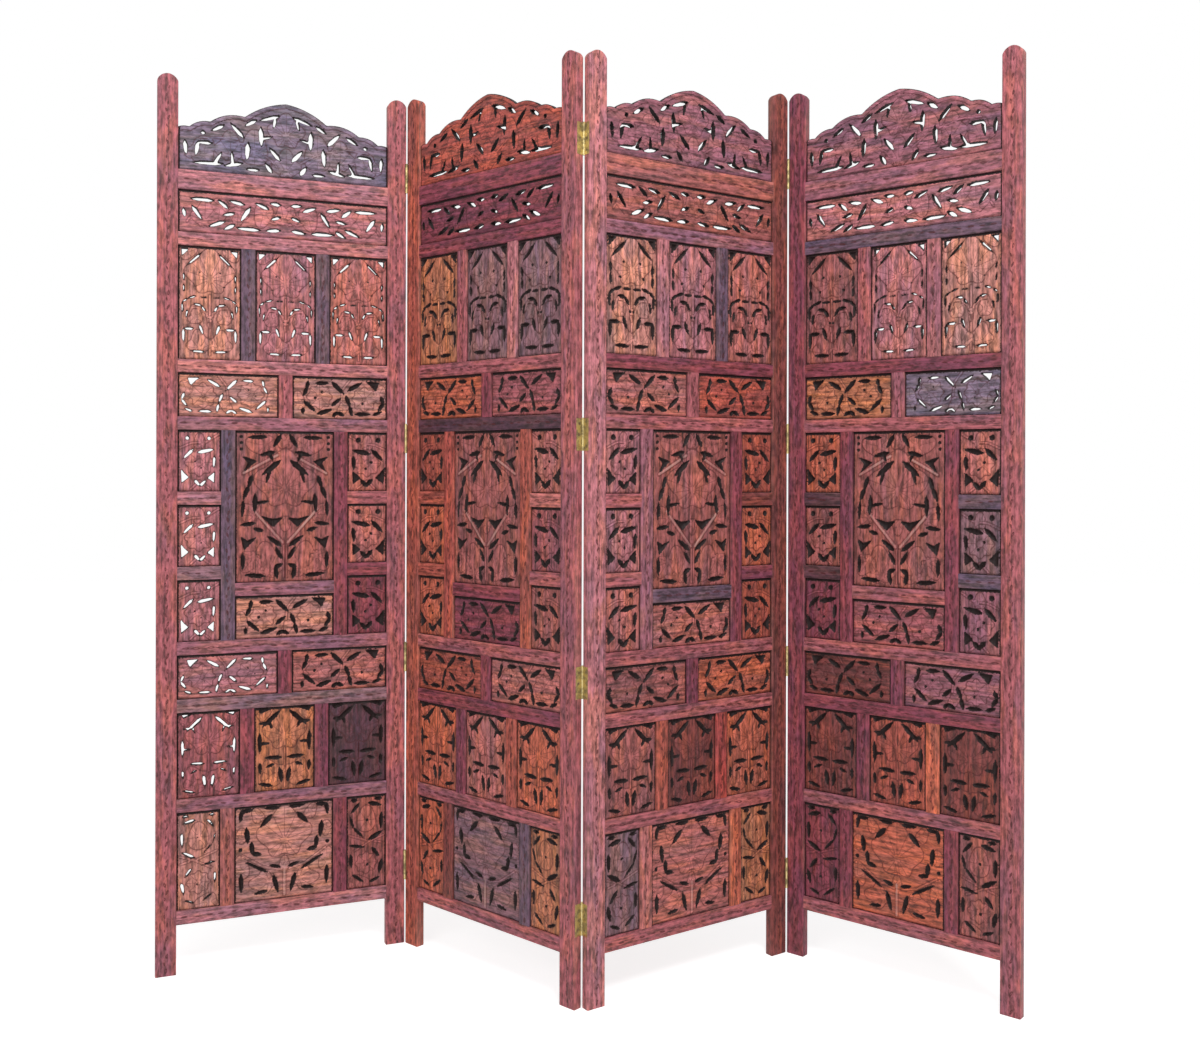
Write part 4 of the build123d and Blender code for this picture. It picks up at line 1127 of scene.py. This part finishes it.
def stain_colour(name):
    """A named stain in scene-linear colour: each screen value's share of 255 to a power."""
    return (np.array(STAINS[name]) / 255) ** SCREEN_POWER


print("stains:", len(STAINS), "and rose is", np.round(stain_colour("rose"), 3))

# %% [markdown]
# The next tables say which piece got which stain, leaf by leaf, and which boards were opened well
# with the chisel so that light comes through them.

# %% Where the stains go
# bars from the lowest up and from left to right, boards from left to right in every row
LEAF_STAINS = (
    {"stiles": ("rose", "rose"),
     "rails": ("pale_rose", "mauve", "ash", "mauve", "mauve", "pale_rose", "pale_rose", "pale_rose"),
     "tall_muntins": ("slate", "slate"), "wide_muntins": ("plum", "rose"),
     "block_muntins": ("slate", "plum"), "short_muntins": ("plum", "plum"),
     "bottom_muntins": ("brown_rose", "plum"),
     "short_rails": ("ash", "pale_rose", "plum", "rose", "mauve"),
     "tall": ("peach", "pale_rose", "salmon"), "short": ("rose", "amber", "charcoal"),
     "high_wide": ("peach", "peach"), "low_wide": ("pale_rose", "salmon"),
     "small_left": ("pale_rose", "pale_rose", "pale_rose"), "small_right": ("plum", "salmon", "salmon"),
     "bottom": ("peach", "peach", "brown_rose"), "centre": ("brown_rose",),
     "under": ("peach",), "frieze": ("pale_rose",), "crest": ("grey_plum",)},
    {"stiles": ("rust", "rose"),
     "rails": ("rose", "rose", "plum", "rose", "charcoal", "rose", "plum", "plum"),
     "tall_muntins": ("rose", "pale_rose"), "wide_muntins": ("plum", "plum"),
     "block_muntins": ("red_orange", "rust"), "short_muntins": ("plum", "rust"),
     "bottom_muntins": ("brown", "slate"),
     "short_rails": ("rust", "rust", "rose", "salmon", "plum"),
     "tall": ("amber", "ash", "ash"), "short": ("orange", "salmon", "orange"),
     "high_wide": ("orange", "rose"), "low_wide": ("rust", "salmon"),
     "small_left": ("orange", "orange", "rust"), "small_right": ("brown_rose", "rose", "salmon"),
     "bottom": ("orange", "ash", "amber"), "centre": ("brown_rose",),
     "under": ("plum",), "frieze": ("plum",), "crest": ("red_orange",)},
    {"stiles": ("pale_rose", "brown"),
     "rails": ("rose", "rose", "rose", "rose", "rose", "plum", "mauve", "brown_rose"),
     "tall_muntins": ("pale_rose", "slate"), "wide_muntins": ("plum", "rose"),
     "block_muntins": ("mauve", "plum"), "short_muntins": ("rust", "red"),
     "bottom_muntins": ("salmon", "orange"),
     "short_rails": ("rose", "rose", "plum", "brown", "slate"),
     "tall": ("peach", "pale_rose", "salmon"), "short": ("brown_rose", "brown", "orange"),
     "high_wide": ("salmon", "red_orange"), "low_wide": ("brown_rose", "orange"),
     "small_left": ("salmon", "pale_rose", "pale_rose"), "small_right": ("rust", "orange", "rust"),
     "bottom": ("ash", "salmon", "amber"), "centre": ("brown_rose",),
     "under": ("salmon",), "frieze": ("brown_rose",), "crest": ("mauve",)},
    {"stiles": ("plum", "rose"),
     "rails": ("rose", "rose", "plum", "rose", "rose", "plum", "slate", "mauve"),
     "tall_muntins": ("rose", "mauve"), "wide_muntins": ("plum", "rose"),
     "block_muntins": ("plum", "plum"), "short_muntins": ("plum", "orange"),
     "bottom_muntins": ("plum", "plum"),
     "short_rails": ("charcoal", "charcoal", "slate", "slate", "rose"),
     "tall": ("brown_rose", "pale_rose", "peach"), "short": ("brown", "rust", "brown"),
     "high_wide": ("amber", "grey_plum"), "low_wide": ("brown", "mauve"),
     "small_left": ("plum", "brown_rose", "orange"), "small_right": ("mauve", "ash", "salmon"),
     "bottom": ("plum", "orange", "brown_rose"), "centre": ("brown_rose",),
     "under": ("rose",), "frieze": ("pale_rose",), "crest": ("mauve",)},
)

# the boards of each leaf whose holes were opened well, by row and place
WELL_OPENED = (
    {"tall": (0, 1, 2), "short": (0,), "high_wide": (0,), "low_wide": (0,),
     "small_left": (0, 1, 2), "bottom": (0,)},
    {},
    {},
    {"tall": (1, 2), "high_wide": (1,)},
)
print("well opened boards:", sum(len(places) for rows in WELL_OPENED for places in rows.values()),
      "besides friezes and crests")

# %% [markdown]
# ## Put the leaves together
# A joiner lays the bars of a leaf out first, and the boards slide into the grooves between them.
# The script does the same: one function per kind of piece gives the shapes of one leaf in that
# leaf's own stains. Written out one by one, the hundred bars of the screen would hide the plan.

# %% Bars of a leaf
RIGHT = CLEAR_LEFT + CLEAR_WIDTH
CENTRE_LEFT = CLEAR_LEFT + SIDE_COLUMN + MUNTIN
SIDES = (CLEAR_LEFT, RIGHT - SIDE_COLUMN)
THIRDS = [CLEAR_LEFT + index * (THIRD_COLUMN + MUNTIN) for index in range(3)]
HALVES = (CLEAR_LEFT, CLEAR_LEFT + HALF_COLUMN + MUNTIN)
BOARD_ROWS = ("tall", "high_wide", "low_wide", "small_left", "small_right", "centre", "under", "short",
              "bottom", "frieze", "crest")


def stained(shape, name, seed):
    """A bar in its stain, where it already stands."""
    return shape.placed((0, 0, 0), stain_colour(name), seed)


def leaf_rails(stains, seed):
    """The eight rails from stile to stile."""
    shapes = []
    for index, (level, height) in enumerate(zip(rail_levels, rail_heights)):
        shape = bar(CLEAR_LEFT, RIGHT, level, level + height, RAIL_THICKNESS, False, seed + index)
        shapes.append(stained(shape, stains["rails"][index], seed + index))
    return joined(shapes)


def muntin(row, left, name, seed):
    """A short upright that fills the height of a row."""
    bottom, top = ROWS[row], ROWS[row] + ROW_HEIGHT[row]
    return stained(bar(bottom, top, left, left + MUNTIN, RAIL_THICKNESS, True, seed), name, seed)


def leaf_muntins(stains, seed):
    """The short uprights of every row, and the short rails of the middle block."""
    uprights = [("tall", "tall_muntins", [left - MUNTIN for left in THIRDS[1:]]),
                ("short", "short_muntins", [left - MUNTIN for left in THIRDS[1:]]),
                ("block", "block_muntins", [CENTRE_LEFT - MUNTIN, CENTRE_LEFT + CENTRE_COLUMN]),
                ("bottom", "bottom_muntins", [CENTRE_LEFT - MUNTIN, CENTRE_LEFT + CENTRE_COLUMN])]
    shapes = []
    for row, key, lefts in uprights:
        for left, name in zip(lefts, stains[key]):
            shapes.append(muntin(row, left, name, seed + len(shapes)))
    for row, name in zip(("low_wide", "high_wide"), stains["wide_muntins"]):
        shapes.append(muntin(row, HALVES[1] - MUNTIN, name, seed + len(shapes)))
    levels = [ROWS["block"] + index * SMALL_HEIGHT + (index - 1) * RAIL for index in (1, 2)]
    places = [(left, SIDE_COLUMN, level) for left in SIDES for level in levels]
    places.append((CENTRE_LEFT, CENTRE_COLUMN, ROWS["block"] + ROW_HEIGHT["low_wide"]))
    for (left, width, level), name in zip(places, stains["short_rails"]):
        number = seed + len(shapes)
        shape = bar(left, left + width, level, level + RAIL, RAIL_THICKNESS, False, number)
        shapes.append(stained(shape, name, number))
    return joined(shapes)


print("a leaf's rows of three begin at", np.round(THIRDS, 1), "and its rows of two at", HALVES)

# %% [markdown]
# The boards are grouped as they are packed. Where a board sits left and right of the middle, one
# is the mirror image of the other, as on a pair of doors.

# %% Boards of a leaf
def leaf_boards(stains, opened, seed):
    """The boards of a leaf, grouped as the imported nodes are."""
    middle = CENTRE_LEFT + CENTRE_COLUMN / 2
    groups = {name: [] for name in ("upright_boards", "wide_boards", "small_boards", "centre_board",
                                    "bottom_boards", "frieze", "crest")}

    def put(group, kind, row, index, x, z, mirror=False):
        """Adds one board with its middle at x and z, in the stain that its row gives it."""
        seeds = seed + 10 * len(groups[group]) + len(group)
        board = boards[kind, kind in ("frieze", "crest") or index in opened.get(row, ())]
        groups[group].append(board.placed((x, 0, z), stain_colour(stains[row][index]), seeds, mirror))

    for kind in ("tall", "short"):
        for index, left in enumerate(THIRDS):
            level = ROWS[kind] + ROW_HEIGHT[kind] / 2
            put("upright_boards", kind, kind, index, left + THIRD_COLUMN / 2, level)
    for row in ("high_wide", "low_wide"):
        for index, left in enumerate(HALVES):
            level = ROWS[row] + ROW_HEIGHT[row] / 2
            put("wide_boards", "wide", row, index, left + HALF_COLUMN / 2, level, mirror=index == 0)
    put("wide_boards", "under", "under", 0, middle, ROWS["block"] + ROW_HEIGHT["low_wide"] / 2)
    for row, left, mirror in (("small_left", SIDES[0], False), ("small_right", SIDES[1], True)):
        for index in range(3):
            level = ROWS["block"] + index * (SMALL_HEIGHT + RAIL) + SMALL_HEIGHT / 2
            put("small_boards", "small", row, index, left + SIDE_COLUMN / 2, level, mirror)
    put("centre_board", "centre", "centre", 0, middle, ROWS["high_wide"] - RAIL - CENTRE_HEIGHT / 2)
    low = ROWS["bottom"] + ROW_HEIGHT["bottom"] / 2
    put("bottom_boards", "bottom", "bottom", 1, middle, low)
    put("bottom_boards", "side", "bottom", 0, SIDES[0] + SIDE_COLUMN / 2, low, mirror=True)
    put("bottom_boards", "side", "bottom", 2, SIDES[1] + SIDE_COLUMN / 2, low)
    put("frieze", "frieze", "frieze", 0, LEAF_WIDTH / 2, ROWS["frieze"] + ROW_HEIGHT["frieze"] / 2)
    put("crest", "crest", "crest", 0, LEAF_WIDTH / 2, ROWS["crest"])
    return {name: joined(shapes) for name, shapes in groups.items()}


print("boards in a leaf:", sum(len(LEAF_STAINS[0][row]) for row in BOARD_ROWS))

# %% [markdown]
# Last come the two stiles, with hollows for the knuckles along the edge that carries hinges. Then
# all the pieces of a leaf become objects.

# %% Build the four leaves
DOME_RISE = 14.0
# the hinges' levels, and where a hinge's hollow begins and ends about its level
HINGE_LEVELS = (169.0, 621.0, 1095.0, 1660.0)
HINGE_BOTTOM, HINGE_TOP = -31.05, 32.65


def knuckle_hollows(edge, facing):
    """The hollows of the four hinges on one stile: -1 or 1 for its hinged edge and for the face."""
    axis = (edge * (STILE_WIDTH + EDGE_GAP) / 2, facing * AXIS_Y)
    return [(*axis, level + HINGE_BOTTOM, level + HINGE_TOP) for level in HINGE_LEVELS]


frame_pieces, board_pieces = [], []
for leaf, (stains, opened) in enumerate(zip(LEAF_STAINS, WELL_OPENED)):
    seed = 100 * leaf + 7
    prefix = f"leaf_{leaf + 1}"
    for side, low, name in (("left", 0.0, stains["stiles"][0]), ("right", RIGHT, stains["stiles"][1])):
        number = seed + (40 if low else 20)
        edge, junction = (1, leaf) if low else (-1, leaf - 1)
        hollows = knuckle_hollows(edge, HINGE_SIDES[junction]) if 0 <= junction < 3 else ()
        shape = bar(0.0, STILE_TOP, low, low + STILE_WIDTH, STILE_THICKNESS, True, number, DOME_RISE, hollows)
        frame_pieces.append(make_object(f"{prefix}_{side}_stile", stained(shape, name, number), leaf))
    frame_pieces.append(make_object(f"{prefix}_rails", leaf_rails(stains, seed), leaf))
    frame_pieces.append(make_object(f"{prefix}_muntins", leaf_muntins(stains, seed + 50), leaf))
    for name, shape in leaf_boards(stains, opened, seed + 70).items():
        board_pieces.append(make_object(f"{prefix}_{name}", shape, leaf))
print("frame pieces", len(frame_pieces), "board pieces", len(board_pieces), "polygons",
      sum(len(piece.data.polygons) for piece in frame_pieces + board_pieces))

# %% [markdown]
# ## Materials
# The finishes are made of nodes alone, with no painted image: noise stays sharp at any distance and
# needs no file. A wire is one value on its way through a material. Sums written with wires lay down
# Math nodes, so a formula in the script reads as it does on paper.


# %% Wires
class Wire:
    """A socket that can be reckoned with: each +, - and * lays down one Math node."""

    def __init__(self, tree, socket):
        self.tree, self.socket = tree, socket

    def maths(self, operation, other=0.0, reflected=False):
        """One Math node on this value and another, or on the other one first."""
        first, second = (other, self) if reflected else (self, other)
        return lay(self.tree, "ShaderNodeMath", {"operation": operation}, {0: first, 1: second})

    def __add__(self, other):
        return self.maths("ADD", other)

    def __sub__(self, other):
        return self.maths("SUBTRACT", other)

    def __rsub__(self, other):
        return self.maths("SUBTRACT", other, reflected=True)

    def __mul__(self, other):
        return self.maths("MULTIPLY", other)

    __radd__ = __add__
    __rmul__ = __mul__

    def between(self, low, high):
        """0 at low and below, 1 at high and above, smooth in between."""
        settings = {"interpolation_type": "SMOOTHSTEP"}
        return lay(self.tree, "ShaderNodeMapRange", settings, {0: self, 1: low, 2: high, 3: 0.0, 4: 1.0})


def lay(tree, kind, settings, inputs, output=0):
    """Adds one node, sets it, feeds its inputs with values or wires, and returns one output."""
    node = tree.nodes.new(kind)
    for name, value in settings.items():
        setattr(node, name, value)
    for key, value in inputs.items():
        if isinstance(value, Wire):
            tree.links.new(value.socket, node.inputs[key])
        else:
            node.inputs[key].default_value = value
    return Wire(tree, node.outputs[output]) if node.outputs else None


print("a wire can be added to, taken from and multiplied by", ("a number", "another wire"))

# %% [markdown]
# A number and a colour need different nodes: a Math node would turn a colour grey, so colours are
# mixed by a node of their own. Every finish ends in one Principled shader, which covers wood and
# metal alike and leaves only its inputs to be chosen.

# %% Mixing colours and ending a material
def blend_colour(tree, kind, share, first, second):
    """Two colours mixed by a share, with a mixing kind such as MIX or MULTIPLY."""
    settings = {"data_type": "RGBA", "blend_type": kind, "clamp_factor": True}
    return lay(tree, "ShaderNodeMix", settings, {0: share, 6: first, 7: second}, output=2)


def new_material(name):
    """An empty material and its tree."""
    material = bpy.data.materials.new(name)
    material.use_nodes = True
    material.node_tree.nodes.clear()
    return material, material.node_tree


def finish_material(tree, shader_inputs):
    """A Principled shader with these inputs, wired to the output."""
    shader = lay(tree, "ShaderNodeBsdfPrincipled", {}, shader_inputs)
    lay(tree, "ShaderNodeOutputMaterial", {}, {0: shader})


print("materials so far:", len(bpy.data.materials))

# %% [markdown]
# The figure of the wood is a set of noises drawn out along the grain. The broadest are clouds of
# another hue, and the finest are the open pores that catch the stain. They follow the grain mark,
# so they run up a stile and along a rail, and differ on every piece.

# %% Figure of the wood
def mark(tree, name, output):
    """One mark of the surface, as a colour (output 0), a vector (1) or a single value (2)."""
    return lay(tree, "ShaderNodeAttribute", {"attribute_name": name}, {}, output=output)


def grain_noise(tree, grain, stretch, scale, detail, roughness=0.55):
    """Noise over the grain's places times a vector: a small factor draws it out that way."""
    vector = lay(tree, "ShaderNodeVectorMath", {"operation": "MULTIPLY"}, {0: grain, 1: stretch})
    inputs = {"Vector": vector, "Scale": scale, "Detail": detail, "Roughness": roughness}
    return lay(tree, "ShaderNodeTexNoise", {}, inputs)


STREAK_STRETCH = 0.06


def wood_figure(tree, grain):
    """The patterns of the wood, from the broadest to the finest, and one for ragged edges."""
    streaks = grain_noise(tree, grain, (STREAK_STRETCH, 1.0, 7.0), 190.0, 3.0, 0.6)
    return {"drift": grain_noise(tree, grain, (0.22, 1.0, 5.0), 21.0, 4.0),
            "clouds": grain_noise(tree, grain, (0.25, 1.0, 3.0), 34.0, 4.0),
            "mottle": grain_noise(tree, grain, (0.40, 1.0, 4.0), 115.0, 3.0, 0.65).between(0.36, 0.64),
            "streaks": streaks.between(0.36, 0.64),
            "pores": grain_noise(tree, grain, (0.12, 1.0, 9.0), 800.0, 3.0, 0.7).between(0.30, 0.70),
            "ragged": grain_noise(tree, grain, (1.0, 1.0, 1.0), 240.0, 2.0)}


print("streaks are drawn out", round(1 / STREAK_STRETCH), "times along the grain")

# %% [markdown]
# The stain lies over that figure. Clouds turn it warm or cool, and streaks and pores darken it. The high
# edges are painted paler, partly as wear and partly as a painted highlight, and where the carving is low it
# is painted darker as shade.

# %% Stain, clouds, wear and painted light
# tints multiply the stain, the other colours cover it
WARM_TINT = (1.26, 1.20, 0.94, 1)
COOL_TINT = (0.76, 0.90, 1.02, 1)
BLUSH_TINT = (1.08, 1.04, 1.12, 1)
# near-black painted as shade into the holes, along the frame and into the low ground
SHADE_DARK = (0.012, 0.004, 0.004, 1)
# dark red painted as shade in the grooves round the forms, along the veins and round the nicks
GROOVE_SHADE_RED = (0.075, 0.010, 0.012, 1)
# a pale colour painted on high edges: partly wear, partly a painted highlight
WORN_HIGHLIGHT = (0.58, 0.34, 0.30, 1)
# shares of the stain's light: always, in a pale streak, between pores and in a pale patch
LEAST_LIGHT, STREAK_LIGHT, PORE_LIGHT, PATCH_LIGHT = 0.16, 0.72, 0.26, 0.78


def stain_wear_and_painted_light(tree, stain, lift, figure, cloud_share):
    """The stain's colour with its clouds and streaks, paler on high edges as wear and painted highlight,
    darker in low ground as painted shade.

    The colour is scaled by the least light plus the lights of streaks, pores and mottle.
    """
    clouds, mottle, streaks, pores = (figure[name] for name in ("clouds", "mottle", "streaks", "pores"))
    warm = blend_colour(tree, "MULTIPLY", clouds.between(0.47, 0.60) * cloud_share, stain, WARM_TINT)
    drifts = figure["drift"].between(0.48, 0.62) * cloud_share
    cool = blend_colour(tree, "MULTIPLY", drifts, warm, COOL_TINT)
    flush = blend_colour(tree, "MULTIPLY", mottle * 0.8, cool, BLUSH_TINT)
    shade = LEAST_LIGHT + STREAK_LIGHT * streaks + PORE_LIGHT * pores + PATCH_LIGHT * mottle
    darker = lay(tree, "ShaderNodeVectorMath", {"operation": "SCALE"}, {0: flush, "Scale": shade})
    # high edges and raised stems painted pale: partly wear, partly a painted highlight
    rubbed_highlight = lift.between(0.70, 0.98) * clouds.between(0.35, 0.75) * 0.38
    polished_highlight = lift.between(0.85, 0.95) * (0.30 + 0.40 * clouds.between(0.40, 0.65))
    worn_and_highlit = blend_colour(tree, "MIX", rubbed_highlight.maths("MAXIMUM", polished_highlight), darker, WORN_HIGHLIGHT)
    # painted shade in the low ground: the grooves, the nicks, the pared edges of holes and the border along
    # the frame
    low = (1.0 - lift.between(0.35, 0.74)) * 0.45
    return blend_colour(tree, "MIX", low, worn_and_highlit, SHADE_DARK)


print("the darkest streak keeps", LEAST_LIGHT, "of the stain's light")

# %% [markdown]
# Shade is painted dark into the holes, along the frame, into the grooves, along the veins and round the
# nicks. The chisel mark tells how far each point is from those lines, so they stay sharp at any distance. A
# little bump lets the grain catch the light; the nicks and the carving themselves are real geometry.

# %% Stained wood
def stained_wood(name, cloud_share, line_share):
    """Wood in the stain of its mark, with grain, clouds, painted shade in the holes and along the chisel
    lines, and edges painted pale as wear and highlight.
    """
    material, tree = new_material(name)
    figure = wood_figure(tree, mark(tree, "grain", 1))
    streaks, pores, mottle = figure["streaks"], figure["pores"], figure["mottle"]
    chisel = mark(tree, "chisel", 1)
    hole, rim, vein = (lay(tree, "ShaderNodeSeparateXYZ", {}, {0: chisel}, output=k) for k in range(3))
    dusk = stain_wear_and_painted_light(tree, mark(tree, "stain", 0), mark(tree, "lift", 2), figure, cloud_share)
    # dark lines painted as shade in the grooves round the forms, along the veins and round the nicks
    rim_line = (1.0 - rim.maths("ABSOLUTE").between(0.20, 1.70)) * 0.60
    vein_line = (1.0 - vein.maths("ABSOLUTE").between(0.05, 1.00)) * line_share
    lined = blend_colour(tree, "MIX", rim_line.maths("MAXIMUM", vein_line), dusk, GROOVE_SHADE_RED)
    # painted shade in the holes and along the frame, with a ragged edge
    hole_shade = 1.0 - (hole + 5.0 * figure["ragged"]).between(2.55, 3.65)
    colour = blend_colour(tree, "MIX", hole_shade, lined, SHADE_DARK)
    roughness = 0.50 + 0.20 * streaks + 0.20 * hole_shade
    height = 0.20 * streaks + 0.25 * pores + 0.6 * mottle - 0.9 * rim_line - 0.6 * vein_line
    bump = lay(tree, "ShaderNodeBump", {}, {"Strength": 0.7, "Distance": 0.001, "Height": height})
    finish_material(tree, {"Base Color": colour, "Roughness": roughness, "Normal": bump,
                           "Coat Weight": 0.06, "Coat Roughness": 0.4, "Specular IOR Level": 0.35})
    return material


frame_wood = stained_wood("stained_frame_wood", 0.95, 0.85)
board_wood = stained_wood("stained_board_wood", 0.95, 0.55)
for piece in frame_pieces:
    piece.data.materials.append(frame_wood)
for piece in board_pieces:
    piece.data.materials.append(board_wood)
print("wood on", len(frame_pieces) + len(board_pieces), "pieces")

# %% [markdown]
# The brass of the hinges has dulled: brown tarnish lies in patches and the wear leaves it uneven.
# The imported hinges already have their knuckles, countersinks and screw slots, so they keep their
# shape and only get a finish. Their pattern follows Object coordinates, in metres.

# %% Aged brass
BRASS, TARNISHED = (0.62, 0.50, 0.24, 1), (0.16, 0.12, 0.06, 1)


def aged_brass(name, tarnish_share):
    """Dull brass: tarnish patches change its colour, metal share and roughness."""
    material, tree = new_material(name)
    place = lay(tree, "ShaderNodeTexCoord", {}, {}, output=3)
    patches = lay(tree, "ShaderNodeTexNoise", {}, {"Vector": place, "Scale": 90.0, "Detail": 4.0})
    scratches = lay(tree, "ShaderNodeTexNoise", {}, {"Vector": place, "Scale": 900.0, "Detail": 2.0})
    tarnish = patches.between(0.40, 0.66) * tarnish_share
    colour = blend_colour(tree, "MIX", tarnish, BRASS, TARNISHED)
    bump = lay(tree, "ShaderNodeBump", {}, {"Strength": 0.25, "Distance": 0.0004, "Height": scratches})
    finish_material(tree, {"Base Color": colour, "Metallic": 0.95 - 0.35 * tarnish,
                           "Roughness": 0.32 + 0.30 * tarnish + 0.1 * scratches, "Normal": bump})
    return material


plate_brass, screw_brass = aged_brass("aged_hinge_brass", 0.8), aged_brass("aged_screw_brass", 1.0)
for name, node in frame["nodes"].items():
    if "hinge" in name:
        node.data.materials.clear()
        node.data.materials.append(screw_brass if "screws" in name else plate_brass)
print("brass on", [name for name in frame["nodes"] if "hinge" in name][:3], "and the rest")

# %% [markdown]
# ## Camera
# The camera stands a little right of the middle, at about the height of a person's belt, and
# looks level, so that the stiles stay upright in the picture. Tilting it would make them lean
# together. Instead the picture plane is shifted a little, so that the whole screen fits in it.

# %% Camera
camera_data = bpy.data.cameras.new("view")
camera_data.sensor_width = 36.0
camera_data.lens = 36.88
camera_data.shift_x = -0.0124
camera_data.shift_y = -0.0383
camera_data.clip_start, camera_data.clip_end = 0.05, 50.0
camera = bpy.data.objects.new("view", camera_data)
camera.location = (0.0794, -2.4963, 1.0197)
camera.rotation_euler = (np.pi / 2, np.radians(-0.15), 0.0)
bpy.context.scene.collection.objects.link(camera)
bpy.context.scene.camera = camera
print("camera at", tuple(round(value, 2) for value in camera.location), "lens", round(camera_data.lens, 2))

# %% [markdown]
# ## Light and floor
# Soft studio light comes from above and in front. A sun would throw hard shadows through the
# holes, so broad area lights and a dim white room light the carving evenly. The floor is pale and
# keeps the soft shadows, and to the camera the room beyond it is plain white.

# %% Lights
def soft_light(name, place, aim, size, power):
    """A square area light at a place, turned to aim at a point."""
    data = bpy.data.lights.new(name, "AREA")
    data.shape, data.size, data.energy = "SQUARE", size, power
    light = bpy.data.objects.new(name, data)
    light.location = place
    light.rotation_euler = Vector(np.subtract(aim, place)).to_track_quat("-Z", "Y").to_euler()
    bpy.context.scene.collection.objects.link(light)
    print(name, "light of", power, "W at", place)


MIDDLE = (0.0, 0.0, 0.9)
soft_light("key", (0.9, -2.4, 3.6), MIDDLE, 1.2, 68.0)
soft_light("fill", (-1.6, -2.9, 1.9), MIDDLE, 2.2, 24.0)

# %% [markdown]
# The room gives a dim light from all sides. What the camera, the brass or a glass looks at is the
# room at full white, but that white gives no light, so the carving keeps its depth.

# %% Room
ROOM_LIGHT = 0.42

world = bpy.data.worlds.new("room")
bpy.context.scene.world = world
world.use_nodes = True
world.node_tree.nodes.clear()


def seen_ray(tree):
    """1 where the camera, a glossy surface or glass looks at it, 0 where it only gives light."""
    camera_ray, glossy_ray, clear_ray = (
        lay(tree, "ShaderNodeLightPath", {}, {}, output=f"Is {kind} Ray")
        for kind in ("Camera", "Glossy", "Transmission"))
    return camera_ray.maths("MAXIMUM", glossy_ray.maths("MAXIMUM", clear_ray))


strength = ROOM_LIGHT + (1 - ROOM_LIGHT) * seen_ray(world.node_tree)
room = lay(world.node_tree, "ShaderNodeBackground", {}, {"Color": (1, 1, 1, 1), "Strength": strength})
lay(world.node_tree, "ShaderNodeOutputWorld", {}, {0: room})
print("the room gives light at", ROOM_LIGHT, "and looks white")

# %% [markdown]
# The floor is a plain sheet of pale paint under the feet. A faint glow lifts it to the white of
# the room for the camera, while the paint still takes the shadows.

# %% Floor
FLOOR_REACH = 9.0
FLOOR_GLOW, FLOOR_SEEN_GLOW = 0.04, 0.62
material, tree = new_material("pale_floor")
paint = lay(tree, "ShaderNodeBsdfDiffuse", {}, {"Color": (0.80, 0.80, 0.80, 1), "Roughness": 0.0})
strength = FLOOR_GLOW + FLOOR_SEEN_GLOW * seen_ray(tree)
glow = lay(tree, "ShaderNodeEmission", {}, {"Color": (1, 1, 1, 1), "Strength": strength})
both = lay(tree, "ShaderNodeAddShader", {}, {0: paint, 1: glow})
lay(tree, "ShaderNodeOutputMaterial", {}, {0: both})
floor_mesh = bpy.data.meshes.new("floor")
corners = [(-1, -1), (1, -1), (1, 1), (-1, 1)]
floor_mesh.from_pydata([(FLOOR_REACH * x, FLOOR_REACH * y, 0) for x, y in corners], [], [(0, 1, 2, 3)])
floor = bpy.data.objects.new("floor", floor_mesh)
floor_mesh.materials.append(material)
bpy.context.scene.collection.objects.link(floor)
bpy.context.scene.view_settings.view_transform = "Standard"
print("floor of", 2 * FLOOR_REACH, "m a side")
